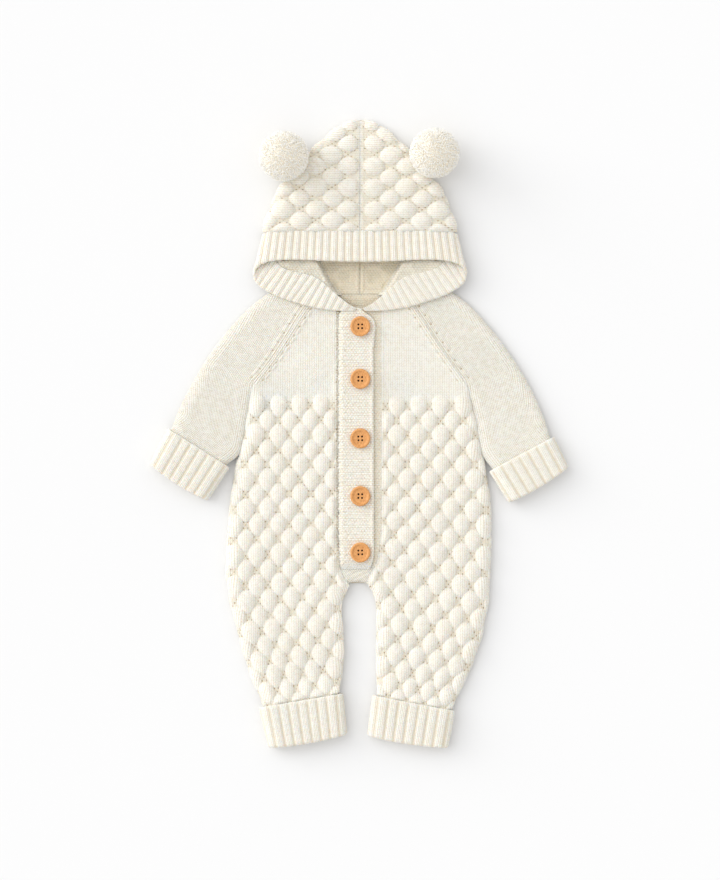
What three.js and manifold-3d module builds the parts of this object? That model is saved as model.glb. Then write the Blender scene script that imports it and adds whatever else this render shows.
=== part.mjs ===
// A hooded baby romper in chunky knit, laid flat on its back.
// Millimetres, +Z up, +Y towards the hood's tip, +X towards the wearer's left side.
// The origin is under the middle of the laid garment, on the surface that it lies on.
import * as THREE from "three";
import { mergeVertices } from "three/addons/utils/BufferGeometryUtils.js";
import Module from "manifold-3d";

const wasm = await Module();
wasm.setup();

// Driving sizes
const CLOTH = 2.6; // wall of the plain knit
const RIB_CLOTH = 2.4; // one layer of a ribbed cuff
const BRIM_CLOTH = 3.0; // wall of the hood's ribbed brim
const SEAM = 0.3; // gap between pieces that are sewn together
const BODY_HEIGHT = 9.0; // front and back laid on each other, over the plain knit
const SLEEVE_HEIGHT = 8.6;
const SIDE_ROLL = 11; // how far in from its edge a laid tube begins to roll down
const SLEEVE_SEAM = 0.5; // slit of the underarm seam
const SLEEVE_GAP = 0.7; // between a sleeve and the side that it lies against
const EDGE_STEPS = [2.4, 0]; // closer columns at a rolled edge, measured in from it
const STITCH_COLUMNS = 30; // columns of a front between those
const INNER_COLUMNS = [0, 2, 11, 20, 31, 33]; // of them all, the ones that the inner face keeps

// Bubble stitch of the body: staggered diamonds
const BUBBLE_LIFT = 3.0;
const BUBBLE_ROW = 29.2; // from one bubble to the next below it
const BUBBLE_TOP = 36; // height on the front where the stitch begins
const BUBBLE_START = 20; // distance from the centre front where its columns are counted from
const BUBBLE_PITCH = [
  { y: -290, pitch: 18.8 },
  { y: -170, pitch: 21.4 },
  { y: 40, pitch: 21.4 },
];
// Bubble stitch of the hood, which is knitted sideways
const HOOD_LIFT = 3.2;
const HOOD_PITCH_ACROSS = 31.4;
const HOOD_PITCH_ALONG = 22.5;
const HOOD_FIRST_BUBBLE = 14.5;
const HOOD_BUBBLE_Y = 223;
const CELL_STEPS = 4; // columns and rows of points in one bubble's pitch

const RIB_PITCH = 7.4; // ribs of the cuffs
const RIB_LIFT = 1.2;
const RIB_SHAPE = [1, 1, 0]; // points across one rib: two on its crest and one in the groove

// Outlines of the laid front panels, as distances from the centre line.
// outer is the raglan seam and then the side seam; inner is the band's edge and then the inseam.
const RIGHT_PANEL = [
  { y: -290, inner: 23.5, outer: 92 },
  { y: -275, inner: 22.8, outer: 96 },
  { y: -266, inner: 21.7, outer: 99.5 },
  { y: -257, inner: 20.4, outer: 104 },
  { y: -241, inner: 17.5, outer: 110 },
  { y: -223, inner: 16.1, outer: 116 },
  { y: -204, inner: 16.1, outer: 121 },
  { y: -183, inner: 18, outer: 126.5 },
  { y: -171, inner: 17.6, outer: 129.5 },
  { y: -164, inner: 15.6, outer: 131 },
  { y: -157, inner: 12.6, outer: 132 },
  { y: -152.5, inner: 10.6, outer: 132.7 },
  { y: -146, inner: 16, outer: 133.4 },
  { y: -137, inner: 20, outer: 134 },
  { y: -120, inner: 21, outer: 133.7 },
  { y: -87, inner: 22, outer: 131.5 },
  { y: -63, inner: 22, outer: 129 },
  { y: -39, inner: 22, outer: 125.2 },
  { y: -19, inner: 22, outer: 120.5 },
  { y: 3, inner: 22, outer: 116.4 },
  { y: 18, inner: 22, outer: 113.5 },
  { y: 33, inner: 22, outer: 111 },
  { y: 47, inner: 22, outer: 107.5 },
  { y: 61, inner: 22, outer: 97 },
  { y: 73, inner: 22, outer: 88 },
  { y: 93, inner: 22, outer: 75 },
  { y: 113, inner: 22, outer: 62.4 },
  { y: 129, inner: 22, outer: 52 },
  { y: 135, inner: 22, outer: 48 },
  { y: 142, inner: 28.6, outer: 43.5 },
  { y: 154, inner: 36.8, outer: 36.2 },
];
const LEFT_PANEL = [
  { y: -290, inner: 18.5, outer: 86.5 },
  { y: -279, inner: 18.2, outer: 90.5 },
  { y: -268, inner: 17.6, outer: 95.6 },
  { y: -257, inner: 17, outer: 101 },
  { y: -241, inner: 16, outer: 108.5 },
  { y: -223, inner: 15.7, outer: 115.5 },
  { y: -204, inner: 16, outer: 121.5 },
  { y: -183, inner: 16.5, outer: 125.8 },
  { y: -171, inner: 15.6, outer: 128 },
  { y: -164, inner: 13.8, outer: 129 },
  { y: -157, inner: 11, outer: 129.4 },
  { y: -151.5, inner: 8, outer: 129.6 },
  { y: -146, inner: 8.6, outer: 129.8 },
  { y: -137, inner: 14, outer: 130 },
  { y: -120, inner: 20.4, outer: 131 },
  { y: -87, inner: 21, outer: 131.2 },
  { y: -63, inner: 21, outer: 129.8 },
  { y: -39, inner: 21, outer: 126 },
  { y: -19, inner: 21, outer: 122.5 },
  { y: 3, inner: 21, outer: 118.5 },
  { y: 18, inner: 21, outer: 115 },
  { y: 33, inner: 21, outer: 111.5 },
  { y: 47, inner: 21, outer: 107.5 },
  { y: 61, inner: 21, outer: 98 },
  { y: 73, inner: 21, outer: 89.5 },
  { y: 93, inner: 21, outer: 76 },
  { y: 113, inner: 21, outer: 63 },
  { y: 129, inner: 21, outer: 52 },
  { y: 135, inner: 21, outer: 48 },
  { y: 142, inner: 28.6, outer: 43.5 },
  { y: 154, inner: 36.8, outer: 36.2 },
];
// A leg's rows slant with its cuff. edge is the row that meets the cuff, at the leg's middle.
const RIGHT_SIDE = { sign: -1, table: RIGHT_PANEL, slant: 0.166, middle: 58, edge: -267.4 };
const LEFT_SIDE = { sign: 1, table: LEFT_PANEL, slant: 0.193, middle: 54, edge: -270.2 };
const UNDERARM_Y = 47;
const PANEL_TOP = 149;
const BACK_TOP = 142;
const CROTCH_Y = -150;

// Sleeves from the neck to the wrist: i is the underarm side, o the shoulder side.
// As far as the underarm, i lies on the panel's raglan edge.
const RIGHT_SLEEVE = [
  { iy: 151, oU: 58, oy: 158 },
  { iy: 129, oU: 81, oy: 147 },
  { iy: 110, oU: 104, oy: 131 },
  { iy: 89, oU: 124, oy: 112 },
  { iy: 67, oU: 142, oy: 90.5 },
  { iy: 47, oU: 156, oy: 70 },
  { iy: 18, oU: 169, oy: 47 },
  { iy: -17, oU: 181, oy: 24 },
  { iU: 133.6, iy: -32.5, oU: 189.3, oy: 2.7 },
  { iU: 139.8, iy: -42.8, oU: 195.2, oy: -7.8 },
];
const LEFT_SLEEVE = [
  { iy: 151, oU: 58, oy: 158 },
  { iy: 129, oU: 82, oy: 147 },
  { iy: 110, oU: 106, oy: 131 },
  { iy: 89, oU: 127, oy: 109 },
  { iy: 67, oU: 144, oy: 88 },
  { iy: 47, oU: 158, oy: 67 },
  { iy: 18, oU: 171, oy: 44 },
  { iy: -17, oU: 183, oy: 18 },
  { iU: 132.7, iy: -36.8, oU: 190.4, oy: -5.7 },
  { iU: 138.6, iy: -47.2, oU: 196.1, oy: -16.3 },
];
const SLEEVE_ROLL_FROM = 62; // height where the sleeve's inner edge starts to roll into a tube
const SLEEVE_ROLL_TO = 24;

// Turned-back cuffs: the corners of each cuff as it lies. The a side is the inner one.
const WRIST_RIGHT = { aU: 130.5, ay: -34.5, bU: 192.4, by: 4.6, cU: 210.8, cy: -31.4, dU: 152.6, dy: -68 };
const WRIST_LEFT = { aU: 129.5, ay: -38.5, bU: 193.6, by: -4, cU: 208.6, cy: -34.5, dU: 149, dy: -70 };
const ANKLE_RIGHT = { aU: 17, ay: -260.5, bU: 101, by: -274.5, cU: 91, cy: -315, dU: 13, dy: -301.5 };
const ANKLE_LEFT = { aU: 12.2, ay: -262, bU: 95, by: -278, cU: 88, cy: -315, dU: 7, dy: -302.5 };
const CUFF_GAP = 0.6; // between a cuff's outer layer and the limb inside it
const CUFF_LAYER_GAP = 0.8;
const CUFF_TUCK = 12; // how far the limb reaches into the cuff
const CUFF_ROLL = 11;
const CUFF_BULGE = 2.2; // the turned edge bows down by this much at its middle

// The legs and sleeves rise by this much to lie inside their cuffs
const CUFF_RISE = RIB_CLOTH + CUFF_GAP;
const RISE_LENGTH = 26;

// Hood: silhouette and laid height
const HOOD_OUTLINE = [
  { y: 202, half: 97.5, height: 16 },
  { y: 217, half: 92.6, height: 15.7 },
  { y: 235, half: 85.6, height: 15.2 },
  { y: 249, half: 77.5, height: 14.5 },
  { y: 257, half: 68.5, height: 13.8 },
  { y: 276, half: 54, height: 12 },
  { y: 285, half: 46, height: 11 },
  { y: 295, half: 34, height: 9.6 },
  { y: 304, half: 23, height: 8 },
  { y: 309.5, half: 14, height: 6.8 },
  { y: 313, half: 4, height: 6.2 },
];
const HOOD_BASE = 202;
const HOOD_TIP = 313;
const HOOD_ROLL = 14;
const HOOD_CLOTH = 2.5;
const HOOD_RETURN = 3; // length of the top layer that turns under at the side
// The under layer ends at the neck seam and, beyond it, at the brim
const HOOD_UNDER_END = [
  { u: 0, y: 142.4 },
  { u: 19, y: 142.4 },
  { u: 23, y: 143 },
  { u: 30, y: 147 },
  { u: 38, y: 152.5 },
  { u: 47, y: 157.8 },
  { u: 66, y: 162.4 },
  { u: 82, y: 170 },
];
const HOOD_UNDER_SIDE = [
  { y: 166, u: 78 },
  { y: 178, u: 85 },
  { y: 190, u: 88 },
  { y: 202, u: 86 },
];
// The line where the hood rolls out over the shoulders
const NECK_ROLL = [
  { y: 124, u: 3 },
  { y: 132, u: 13 },
  { y: 142, u: 22 },
  { y: 155, u: 31 },
  { y: 171, u: 39 },
  { y: 193, u: 46 },
];
const SHOULDER_LIFT = 9.7; // underside of what lies on the shoulders
const SHOULDER_FROM = 197; // the under layer climbs on to the shoulders between these heights
const SHOULDER_TO = 167;
const NECK_ROLL_WIDTH = 6;

// The brim from the middle of the forehead round to the front neck.
// s is the edge sewn to the hood, f the free edge, and the z values are the middle of the wall.
const BRIM = [
  { sU: 0, sy: 201.65, sz: 14.7, fU: 0, fy: 171, fz: 16.2 },
  { sU: 30, sy: 201.65, sz: 14.7, fU: 31, fy: 171.6, fz: 16.2 },
  { sU: 60, sy: 201.65, sz: 14.6, fU: 62, fy: 173, fz: 16.1 },
  { sU: 80, sy: 201.5, sz: 14.2, fU: 84, fy: 172.2, fz: 15.9 },
  { sU: 92, sy: 200.4, sz: 11.8, fU: 97, fy: 169, fz: 15.2 },
  { sU: 96.4, sy: 196.5, sz: 7.4, fU: 104.2, fy: 163.5, fz: 13.6 },
  { sU: 93.5, sy: 188.5, sz: 4.2, fU: 106.4, fy: 156.5, fz: 12.1 },
  { sU: 87, sy: 177.5, sz: 7.6, fU: 103.6, fy: 149.5, fz: 11.4 },
  { sU: 79, sy: 166.6, sz: 11, fU: 96, fy: 143.6, fz: 11.4 },
  { sU: 66, sy: 161.4, sz: 11.3, fU: 81.5, fy: 136.2, fz: 11.4 },
  { sU: 47, sy: 156.8, sz: 11.3, fU: 66, fy: 131, fz: 11.4 },
  { sU: 37.5, sy: 151, sz: 11.3, fU: 51, fy: 126.6, fz: 11.4 },
  { sU: 27, sy: 141.6, sz: 11.3, fU: 36, fy: 123.6, fz: 11.4 },
  { sU: 13, sy: 130, sz: 11.3, fU: 18, fy: 121.9, fz: 11.4 },
  { sU: 3, sy: 124.4, sz: 11.3, fU: 4.4, fy: 121.8, fz: 11.4 },
];
const BRIM_RIBS = 31; // ribs on each half of the brim

// Bands, from the neck down. The over band carries the buttonholes.
const BAND_TOP = 121;
const BAND_BOTTOM = -136;
const OVER_BAND = [
  { y: -136, left: -19.6, right: 12.4 },
  { y: -120, left: -20.6, right: 15 },
  { y: -95, left: -21.5, right: 14.8 },
  { y: 30, left: -21.6, right: 14.6 },
  { y: 100, left: -21.6, right: 14.4 },
  { y: 112, left: -21.4, right: 13.4 },
  { y: 121, left: -20.5, right: 8 },
];
const UNDER_BAND = [
  { y: -136, left: -12, right: 13.2 },
  { y: -120, left: -13.5, right: 19.6 },
  { y: -95, left: -13.5, right: 20.6 },
  { y: 121, left: -13.5, right: 20.6 },
];
const OVER_BAND_Z = BODY_HEIGHT + SEAM;

const GUSSET_GAP = 0.8;

// Buttons
const BUTTON_RADIUS = 10;
const BUTTON_HEIGHT = 4.4;
const BUTTON_RIM = 2.4;
const BUTTON_DISH = 1.1;
const BUTTON_HOLE = 0.95;
const BUTTON_HOLE_OFFSET = 1.85;
const BUTTON_X = 0.3;
const BUTTON_Y = [106.5, 54, -5.4, -63, -119.3];

// Pompoms
const POMPOM_RADIUS = 25.4;
const POMPOM_CORE = 18;
const POMPOM_LOCKS = 40;
const LOCK_ROOT = 2.4;
const LOCK_END = 4.9;
const TIE_LENGTH = 25.5;
const POMPOM_RIGHT = { x: -76, y: 276, z: 26 };
const POMPOM_LEFT = { x: 74.2, y: 279, z: 26 };

const CREAM = 0xf6f1e6;
const WOOD = 0xe0a068;
const knit = new THREE.MeshStandardMaterial({ color: CREAM, roughness: 0.95, metalness: 0 });
const yarn = new THREE.MeshStandardMaterial({ color: CREAM, roughness: 1, metalness: 0 });
const wood = new THREE.MeshStandardMaterial({ color: WOOD, roughness: 0.55, metalness: 0 });

// Value of a table's column at a place between its rows, on a smooth cubic through them.
function valueAt(rows, key, column, at) {
  const last = rows.length - 1;
  if (at <= rows[0][key]) return rows[0][column];
  if (at >= rows[last][key]) return rows[last][column];
  let i = 0;
  while (rows[i + 1][key] < at) i++;
  const slope = (a, b) => (rows[b][column] - rows[a][column]) / (rows[b][key] - rows[a][key]);
  const step = rows[i + 1][key] - rows[i][key];
  const t = (at - rows[i][key]) / step;
  const from = slope(Math.max(i - 1, 0), i + 1) * step;
  const to = slope(i, Math.min(i + 2, last)) * step;
  return (
    rows[i][column] * (2 * t ** 3 - 3 * t ** 2 + 1) +
    from * (t ** 3 - 2 * t ** 2 + t) +
    rows[i + 1][column] * (3 * t ** 2 - 2 * t ** 3) +
    to * (t ** 3 - t ** 2)
  );
}

// From 0 to 1 between two values, with a soft start and end.
function ease(from, to, at) {
  const t = Math.min(1, Math.max(0, (at - from) / (to - from)));
  return t * t * (3 - 2 * t);
}

// Whole steps from one value to another, with a step no longer than the one given.
function stepsBetween(from, to, longest) {
  const count = Math.max(1, Math.ceil(Math.abs(to - from) / longest));
  return Array.from({ length: count + 1 }, (_, i) => from + ((to - from) * i) / count);
}

// A closed geometry from triangles of points, turned so that its faces point out.
// Triangles with two equal points, left by columns that meet at an edge, are dropped.
function closedGeometry(triangles) {
  const grid = 1000;
  const snap = (p) => p.clone().multiplyScalar(grid).round().divideScalar(grid);
  const kept = triangles
    .map((triangle) => triangle.map(snap))
    .filter(([a, b, c]) => !a.equals(b) && !b.equals(c) && !c.equals(a));
  const volume = kept.reduce((sum, [a, b, c]) => sum + a.dot(b.clone().cross(c)), 0);
  const points = kept.flatMap(([a, b, c]) => (volume < 0 ? [a, c, b] : [a, b, c]));
  return mergeVertices(new THREE.BufferGeometry().setFromPoints(points), 1e-4);
}

// Triangles between a fine chain of points and a coarse chain beside it.
// marks holds the places in the fine chain that the coarse chain's points stand at.
function fringe(fine, coarse, marks, turned) {
  const made = [];
  for (let i = 0; i + 1 < marks.length; i++) {
    const [a, b] = [coarse[i], coarse[i + 1]];
    for (let j = marks[i]; j < marks[i + 1]; j++) made.push([a, fine[j], fine[j + 1]]);
    made.push([a, fine[marks[i + 1]], b]);
  }
  return turned ? made.map(([a, b, c]) => [a, c, b]) : made;
}

// Triangles of a grid of points. Each face is split along its lower diagonal, so that the
// valleys between raised stitches stay open.
function gridFaces(grid, turned) {
  const made = [];
  for (let j = 0; j + 1 < grid.length; j++)
    for (let k = 0; k + 1 < grid[j].length; k++) {
      const [a, b, c, d] = [grid[j][k], grid[j][k + 1], grid[j + 1][k + 1], grid[j + 1][k]];
      if (a.z + c.z <= b.z + d.z) made.push([a, b, c], [a, c, d]);
      else made.push([a, b, d], [b, c, d]);
    }
  return turned ? made.map(([a, b, c]) => [a, c, b]) : made;
}

// Every so many places of a row, and its last one.
function everyFew(length, few) {
  const marks = [];
  for (let i = 0; i < length - 1; i += few) marks.push(i);
  return [...marks, length - 1];
}

// A cloth wall from a grid of outer points and the inner points behind them.
// The inner face is plain, so it may keep only some of the rows and columns.
function clothWall(outer, inner, keptRows, keptColumns) {
  const rows = keptRows ?? everyFew(outer.length, 1);
  const columns = keptColumns ?? everyFew(outer[0].length, 1);
  const plain = rows.map((j) => columns.map((k) => inner[j][k]));
  const right = outer[0].length - 1;
  return closedGeometry([
    ...gridFaces(outer, false),
    ...gridFaces(plain, true),
    ...fringe(outer[0], plain[0], columns, true),
    ...fringe(outer.at(-1), plain.at(-1), columns, false),
    ...fringe(outer.map((row) => row[0]), plain.map((row) => row[0]), rows, false),
    ...fringe(outer.map((row) => row[right]), plain.map((row) => row.at(-1)), rows, true),
  ]);
}

// Boolean help: a geometry as a solid, and a solid as a geometry.
function solidOf(geometry) {
  const bare = geometry.clone();
  bare.deleteAttribute("normal");
  bare.deleteAttribute("uv");
  const merged = mergeVertices(bare, 1e-4);
  return new wasm.Manifold(
    new wasm.Mesh({
      numProp: 3,
      vertProperties: new Float32Array(merged.attributes.position.array),
      triVerts: new Uint32Array(merged.index.array),
    }),
  );
}

function geometryOf(solid) {
  const mesh = solid.getMesh();
  const geometry = new THREE.BufferGeometry();
  geometry.setAttribute("position", new THREE.BufferAttribute(mesh.vertProperties, mesh.numProp));
  geometry.setIndex(new THREE.BufferAttribute(mesh.triVerts, 1));
  return geometry;
}

// One section of a laid layer: flat on top, rolled down at either edge by part of a quarter ellipse.
// Places across it are measured along the cloth and equal the distance from the centre where it is flat.
function laidSection({ inner, outer, innerRoll, outerRoll, height, roll, seam = SEAM }) {
  const across = Math.min(roll, (outer - inner) / 2);
  const down = height / 2;
  const flattest = Math.asin(seam / 2 / down);
  const angleAt = (amount) => Math.max(flattest, (Math.PI / 2) * (1 - amount));
  const [innerAngle, outerAngle] = [angleAt(innerRoll), angleAt(outerRoll)];
  const flatFrom = inner + across * Math.cos(innerAngle);
  const flatTo = outer - across * Math.cos(outerAngle);
  const perRadian = (across + down) / 2;
  const start = flatFrom - (Math.PI / 2 - innerAngle) * perRadian;
  const end = flatTo + (Math.PI / 2 - outerAngle) * perRadian;
  const point = (place, lift) => {
    if (place > flatTo) {
      const angle = Math.PI / 2 - (place - flatTo) / perRadian;
      return [flatTo + (across + lift) * Math.cos(angle), down + (down + lift) * Math.sin(angle)];
    }
    if (place < flatFrom) {
      const angle = Math.PI / 2 - (flatFrom - place) / perRadian;
      return [flatFrom - (across + lift) * Math.cos(angle), down + (down + lift) * Math.sin(angle)];
    }
    return [place, height + lift];
  };
  return { start, end, point };
}

// Height of a bubble at a place in its staggered pattern, from 0 in a valley to 1 on a crest.
function bubble(across, along) {
  const cell = (value) => Math.abs(value - Math.round(value));
  const reach = (p, q) => (2 * cell(p)) ** 1.5 + (2 * cell(q)) ** 1.5;
  const nearest = Math.min(reach(across, along), reach(across - 0.5, along - 0.5));
  const rim = 2 * 0.5 ** 1.5;
  return Math.sqrt(Math.max(0, 1 - nearest / rim));
}

// How far a limb has risen to lie inside its cuff, from its distance beyond the cuff's edge.
function riseAt(distance) {
  return CUFF_RISE * ease(-RISE_LENGTH, 0, distance);
}

// Rows of a body panel from the neck down. Only the kept ones run through to the plain inner
// face and the back, so they are close where the outline turns or the leg rises into its cuff.
function bodyRows({ edge }) {
  const cell = BUBBLE_ROW / CELL_STEPS;
  const first = Math.ceil(BUBBLE_TOP / cell) * cell;
  const yoke = stepsBetween(PANEL_TOP, first + cell, 16);
  const bottom = edge - CUFF_TUCK;
  const count = Math.ceil((first - bottom) / cell);
  const stitched = Array.from({ length: count + 1 }, (_, i) => Math.max(bottom, first - i * cell));
  const rows = [...yoke, ...stitched];
  const isClose = (y) => Math.abs(y - CROTCH_Y - 8) < 24 || y < edge + RISE_LENGTH + cell;
  const kept = rows.flatMap((y, i) => {
    const isWhole = i < yoke.length || (i - yoke.length) % CELL_STEPS === 0;
    return isWhole || isClose(y) ? [i] : [];
  });
  return { rows, kept };
}

// The section of a body panel at a row. A leg's rows slant with its cuff, so the edges are read
// where the row meets them.
function bodySection(panel, y, isBack) {
  const slant = panel.slant * ease(-165, -262, y);
  const edgeAt = (column) => {
    const guess = valueAt(panel.table, "y", column, y);
    return valueAt(panel.table, "y", column, y - slant * (guess - panel.middle));
  };
  const section = laidSection({
    inner: isBack && y > CROTCH_Y ? 0 : edgeAt("inner"),
    outer: edgeAt("outer"),
    innerRoll: ease(-148, -168, y),
    outerRoll: ease(UNDERARM_Y + 12, UNDERARM_Y - 24, y),
    height: BODY_HEIGHT,
    roll: SIDE_ROLL,
  });
  const place = (across, lift) => {
    const [u, z] = section.point(across, lift);
    const flat = isBack ? BODY_HEIGHT - z : z;
    const slanted = y - slant * (u - panel.middle);
    return new THREE.Vector3(panel.sign * u, slanted, flat + riseAt(panel.edge - y));
  };
  return { ...section, place };
}

// Relief of the bubble stitch on a front panel.
function bodyRelief(panel, place, row, section) {
  if (row > BUBBLE_TOP) return 0;
  const pitch = valueAt(BUBBLE_PITCH, "y", "pitch", row);
  const across = (place - BUBBLE_START) / pitch;
  const least = 0.4 * ease(-22, -45, row);
  const side = least + (1 - least) * ease(section.end, section.end - 9, place);
  const inseam = ease(section.start, section.start + 7, place);
  const cuffEnd = ease(panel.edge + 2, panel.edge + 8, row);
  return BUBBLE_LIFT * side * inseam * cuffEnd * bubble(across, row / BUBBLE_ROW);
}

// A front panel: plain yoke above, bubble stitch below and down the leg.
function frontPanel(panel) {
  const { rows, kept } = bodyRows(panel);
  const layer = (isLifted) =>
    rows.map((y) => {
      const section = bodySection(panel, y, false);
      const pitch = valueAt(BUBBLE_PITCH, "y", "pitch", y);
      const steps = EDGE_STEPS.map((step) => step * Math.min(1, (section.end - section.start) / 12));
      const near = section.start + steps[0];
      const far = section.end - steps[0];
      const stitches = Array.from(
        { length: STITCH_COLUMNS },
        (_, k) => BUBBLE_START + ((k - 5) * pitch) / CELL_STEPS,
      );
      const places = [
        ...steps.toReversed().map((step) => section.start + step),
        ...stitches.map((place) => Math.min(far, Math.max(near, place))),
        ...steps.map((step) => section.end - step),
      ];
      return places.map((place) =>
        section.place(place, isLifted ? bodyRelief(panel, place, y, section) : -CLOTH),
      );
    });
  return clothWall(layer(true), layer(false), kept, INNER_COLUMNS);
}

// Half of the back panel, from the centre line out, flat on the surface.
function backHalf(panel) {
  const { rows, kept } = bodyRows(panel);
  const lower = kept.map((i) => rows[i]).filter((y) => y < BACK_TOP - 4);
  const layer = (lift) =>
    [BACK_TOP, ...lower].map((y) => {
      const section = bodySection(panel, y, true);
      const edge = Math.min(13, (section.end - section.start) / 2.2);
      const shares = [0, 0.45, 1];
      const places = [
        ...shares.map((t) => section.start + t * edge),
        ...shares.toReversed().map((t) => section.end - t * edge),
      ];
      return places.map((place) => section.place(place, lift));
    });
  return clothWall(layer(0), layer(-CLOTH));
}

function backPanel() {
  const halves = [backHalf(RIGHT_SIDE), backHalf(LEFT_SIDE)].map(solidOf);
  return geometryOf(halves[0].add(halves[1]));
}

// A sleeve: one sheet rolled into a laid tube, open along the raglan seam and closed by the
// underarm seam.
function sleeve(table, panel) {
  const besidePanel = (y) => valueAt(panel.table, "y", "outer", y) + SLEEVE_GAP;
  const rows = table.map((row, i) => ({ ...row, i, iU: row.iU ?? besidePanel(row.iy) }));
  const lastBeside = table.findLastIndex((row) => row.iU === undefined);
  const last = rows.length - 1;
  const layer = (lift) =>
    stepsBetween(0, last, 0.6).map((at) => {
      const [drawn, iy, oU, oy] = ["iU", "iy", "oU", "oy"].map((c) => valueAt(rows, "i", c, at));
      const iU = at <= lastBeside ? besidePanel(iy) : drawn;
      const width = Math.hypot(oU - iU, oy - iy);
      const section = laidSection({
        inner: 0,
        outer: width,
        innerRoll: ease(SLEEVE_ROLL_FROM, SLEEVE_ROLL_TO, iy),
        outerRoll: 1,
        height: SLEEVE_HEIGHT,
        roll: SIDE_ROLL,
        seam: SLEEVE_SEAM,
      });
      const rise = riseAt((at - last + 1) * CUFF_TUCK);
      const edge = Math.min(12, (section.end - section.start) / 2.2);
      const shares = [0, 0.45, 1];
      const places = [
        ...shares.map((t) => section.start + t * edge),
        ...shares.toReversed().map((t) => section.end - t * edge),
      ];
      const place = (spot, isUnder) => {
        const [across, z] = section.point(spot, lift);
        const share = across / width;
        const [u, y] = [iU + (oU - iU) * share, iy + (oy - iy) * share];
        return new THREE.Vector3(panel.sign * u, y, (isUnder ? SLEEVE_HEIGHT - z : z) + rise);
      };
      const top = places.map((spot) => place(spot, false));
      const bottom = places.toReversed().map((spot) => place(spot, true));
      return [...top, ...bottom];
    });
  return clothWall(layer(0), layer(-CLOTH));
}

// Places round a laid tube: a flat top and bottom with a half ellipse at each side.
function tubePoint(width, height, roll, turn, offset) {
  const across = Math.min(roll, width / 2);
  const down = height / 2;
  const flat = width - 2 * across;
  const arc = Math.PI * ((across + down) / 2);
  const whole = 2 * flat + 2 * arc;
  let along = (((turn % 1) + 1) % 1) * whole;
  const arcPoint = (centre, angle) => [
    centre + (across + offset) * Math.cos(angle),
    down + (down + offset) * Math.sin(angle),
  ];
  if (along < flat) return [across + along, height + offset];
  along -= flat;
  if (along < arc) return arcPoint(width - across, Math.PI / 2 - (along / arc) * Math.PI);
  along -= arc;
  if (along < flat) return [width - across - along, -offset];
  along -= flat;
  return arcPoint(across, -Math.PI / 2 - (along / arc) * Math.PI);
}

// A ribbed cuff turned back on itself: an outer layer, the fold at the end and an inner layer that meets the limb.
function cuff(corners, limbHeight, sign) {
  const { aU, ay, bU, by, cU, cy, dU, dy } = corners;
  const height = limbHeight + 2 * CUFF_RISE;
  const layers = 2 * RIB_CLOTH + CUFF_LAYER_GAP;
  const length = Math.hypot((cU + dU - aU - bU) / 2, (cy + dy - ay - by) / 2);
  const tuck = (CUFF_TUCK + SEAM + 0.2) / length;
  const mean = Math.hypot(bU - aU, by - ay);
  const flat = mean - 2 * CUFF_ROLL;
  const arc = Math.PI * ((CUFF_ROLL + height / 2) / 2);
  const whole = 2 * flat + 2 * arc;
  const ribbed = (flat + 1.2 * arc) / whole; // the top and both sides, but not the underside
  const from = (-0.6 * arc) / whole;
  const ribs = Math.round((ribbed * whole) / RIB_PITCH);
  const shape = RIB_SHAPE.length;
  const turns = Array.from({ length: ribs * shape + 1 }, (_, i) => from + (ribbed * i) / (ribs * shape));
  const rest = stepsBetween(from + ribbed, from + 1, 0.07).slice(1, -1);
  const fine = [...turns, ...rest];
  const marks = [...everyFew(turns.length, 2), ...rest.map((_, i) => turns.length + i)];
  const liftAt = (k) => (k < turns.length - 1 ? RIB_LIFT * RIB_SHAPE[(k + 1) % shape] : 0);

  const point = (k, v, offset, ribLift) => {
    const turn = fine[k];
    const start = [aU + (dU - aU) * v, ay + (dy - ay) * v];
    const end = [bU + (cU - bU) * v, by + (cy - by) * v];
    const width = Math.hypot(end[0] - start[0], end[1] - start[1]);
    const [across, z] = tubePoint(width, height, CUFF_ROLL, turn, offset + (ribLift ? liftAt(k) : 0));
    const share = across / width;
    const bow = CUFF_BULGE * v * v * 4 * Math.max(0, share * (1 - share));
    const [ex, ey] = [(dU - aU) / length, (dy - ay) / length];
    const u = start[0] + (end[0] - start[0]) * share + bow * ex;
    const y = start[1] + (end[1] - start[1]) * share + bow * ey;
    return new THREE.Vector3(sign * u, y, Math.max(0, z));
  };
  const ring = (v, offset, ribLift) => {
    const made = fine.map((_, k) => point(k, v, offset, ribLift));
    return [...made, made[0]];
  };
  const coarse = (v, offset) => {
    const made = marks.map((k) => point(k, v, offset, false));
    return [...made, made[0]];
  };
  const allMarks = [...marks, fine.length];
  const outer = [ring(0, 0, true), ring(0.94, 0, true)];
  const folded = [
    coarse(1, -layers / 2),
    coarse(0.94, -layers),
    coarse(tuck, -layers),
    coarse(tuck, -layers + RIB_CLOTH),
    coarse(0.88, -layers + RIB_CLOTH),
    coarse(0.88, -RIB_CLOTH),
    coarse(0, -RIB_CLOTH),
  ];
  return closedGeometry([
    ...gridFaces(outer, false),
    ...fringe(outer[1], folded[0], allMarks, false),
    ...gridFaces(folded, false),
    ...fringe(outer[0], folded[folded.length - 1], allMarks, true),
  ]);
}

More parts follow.
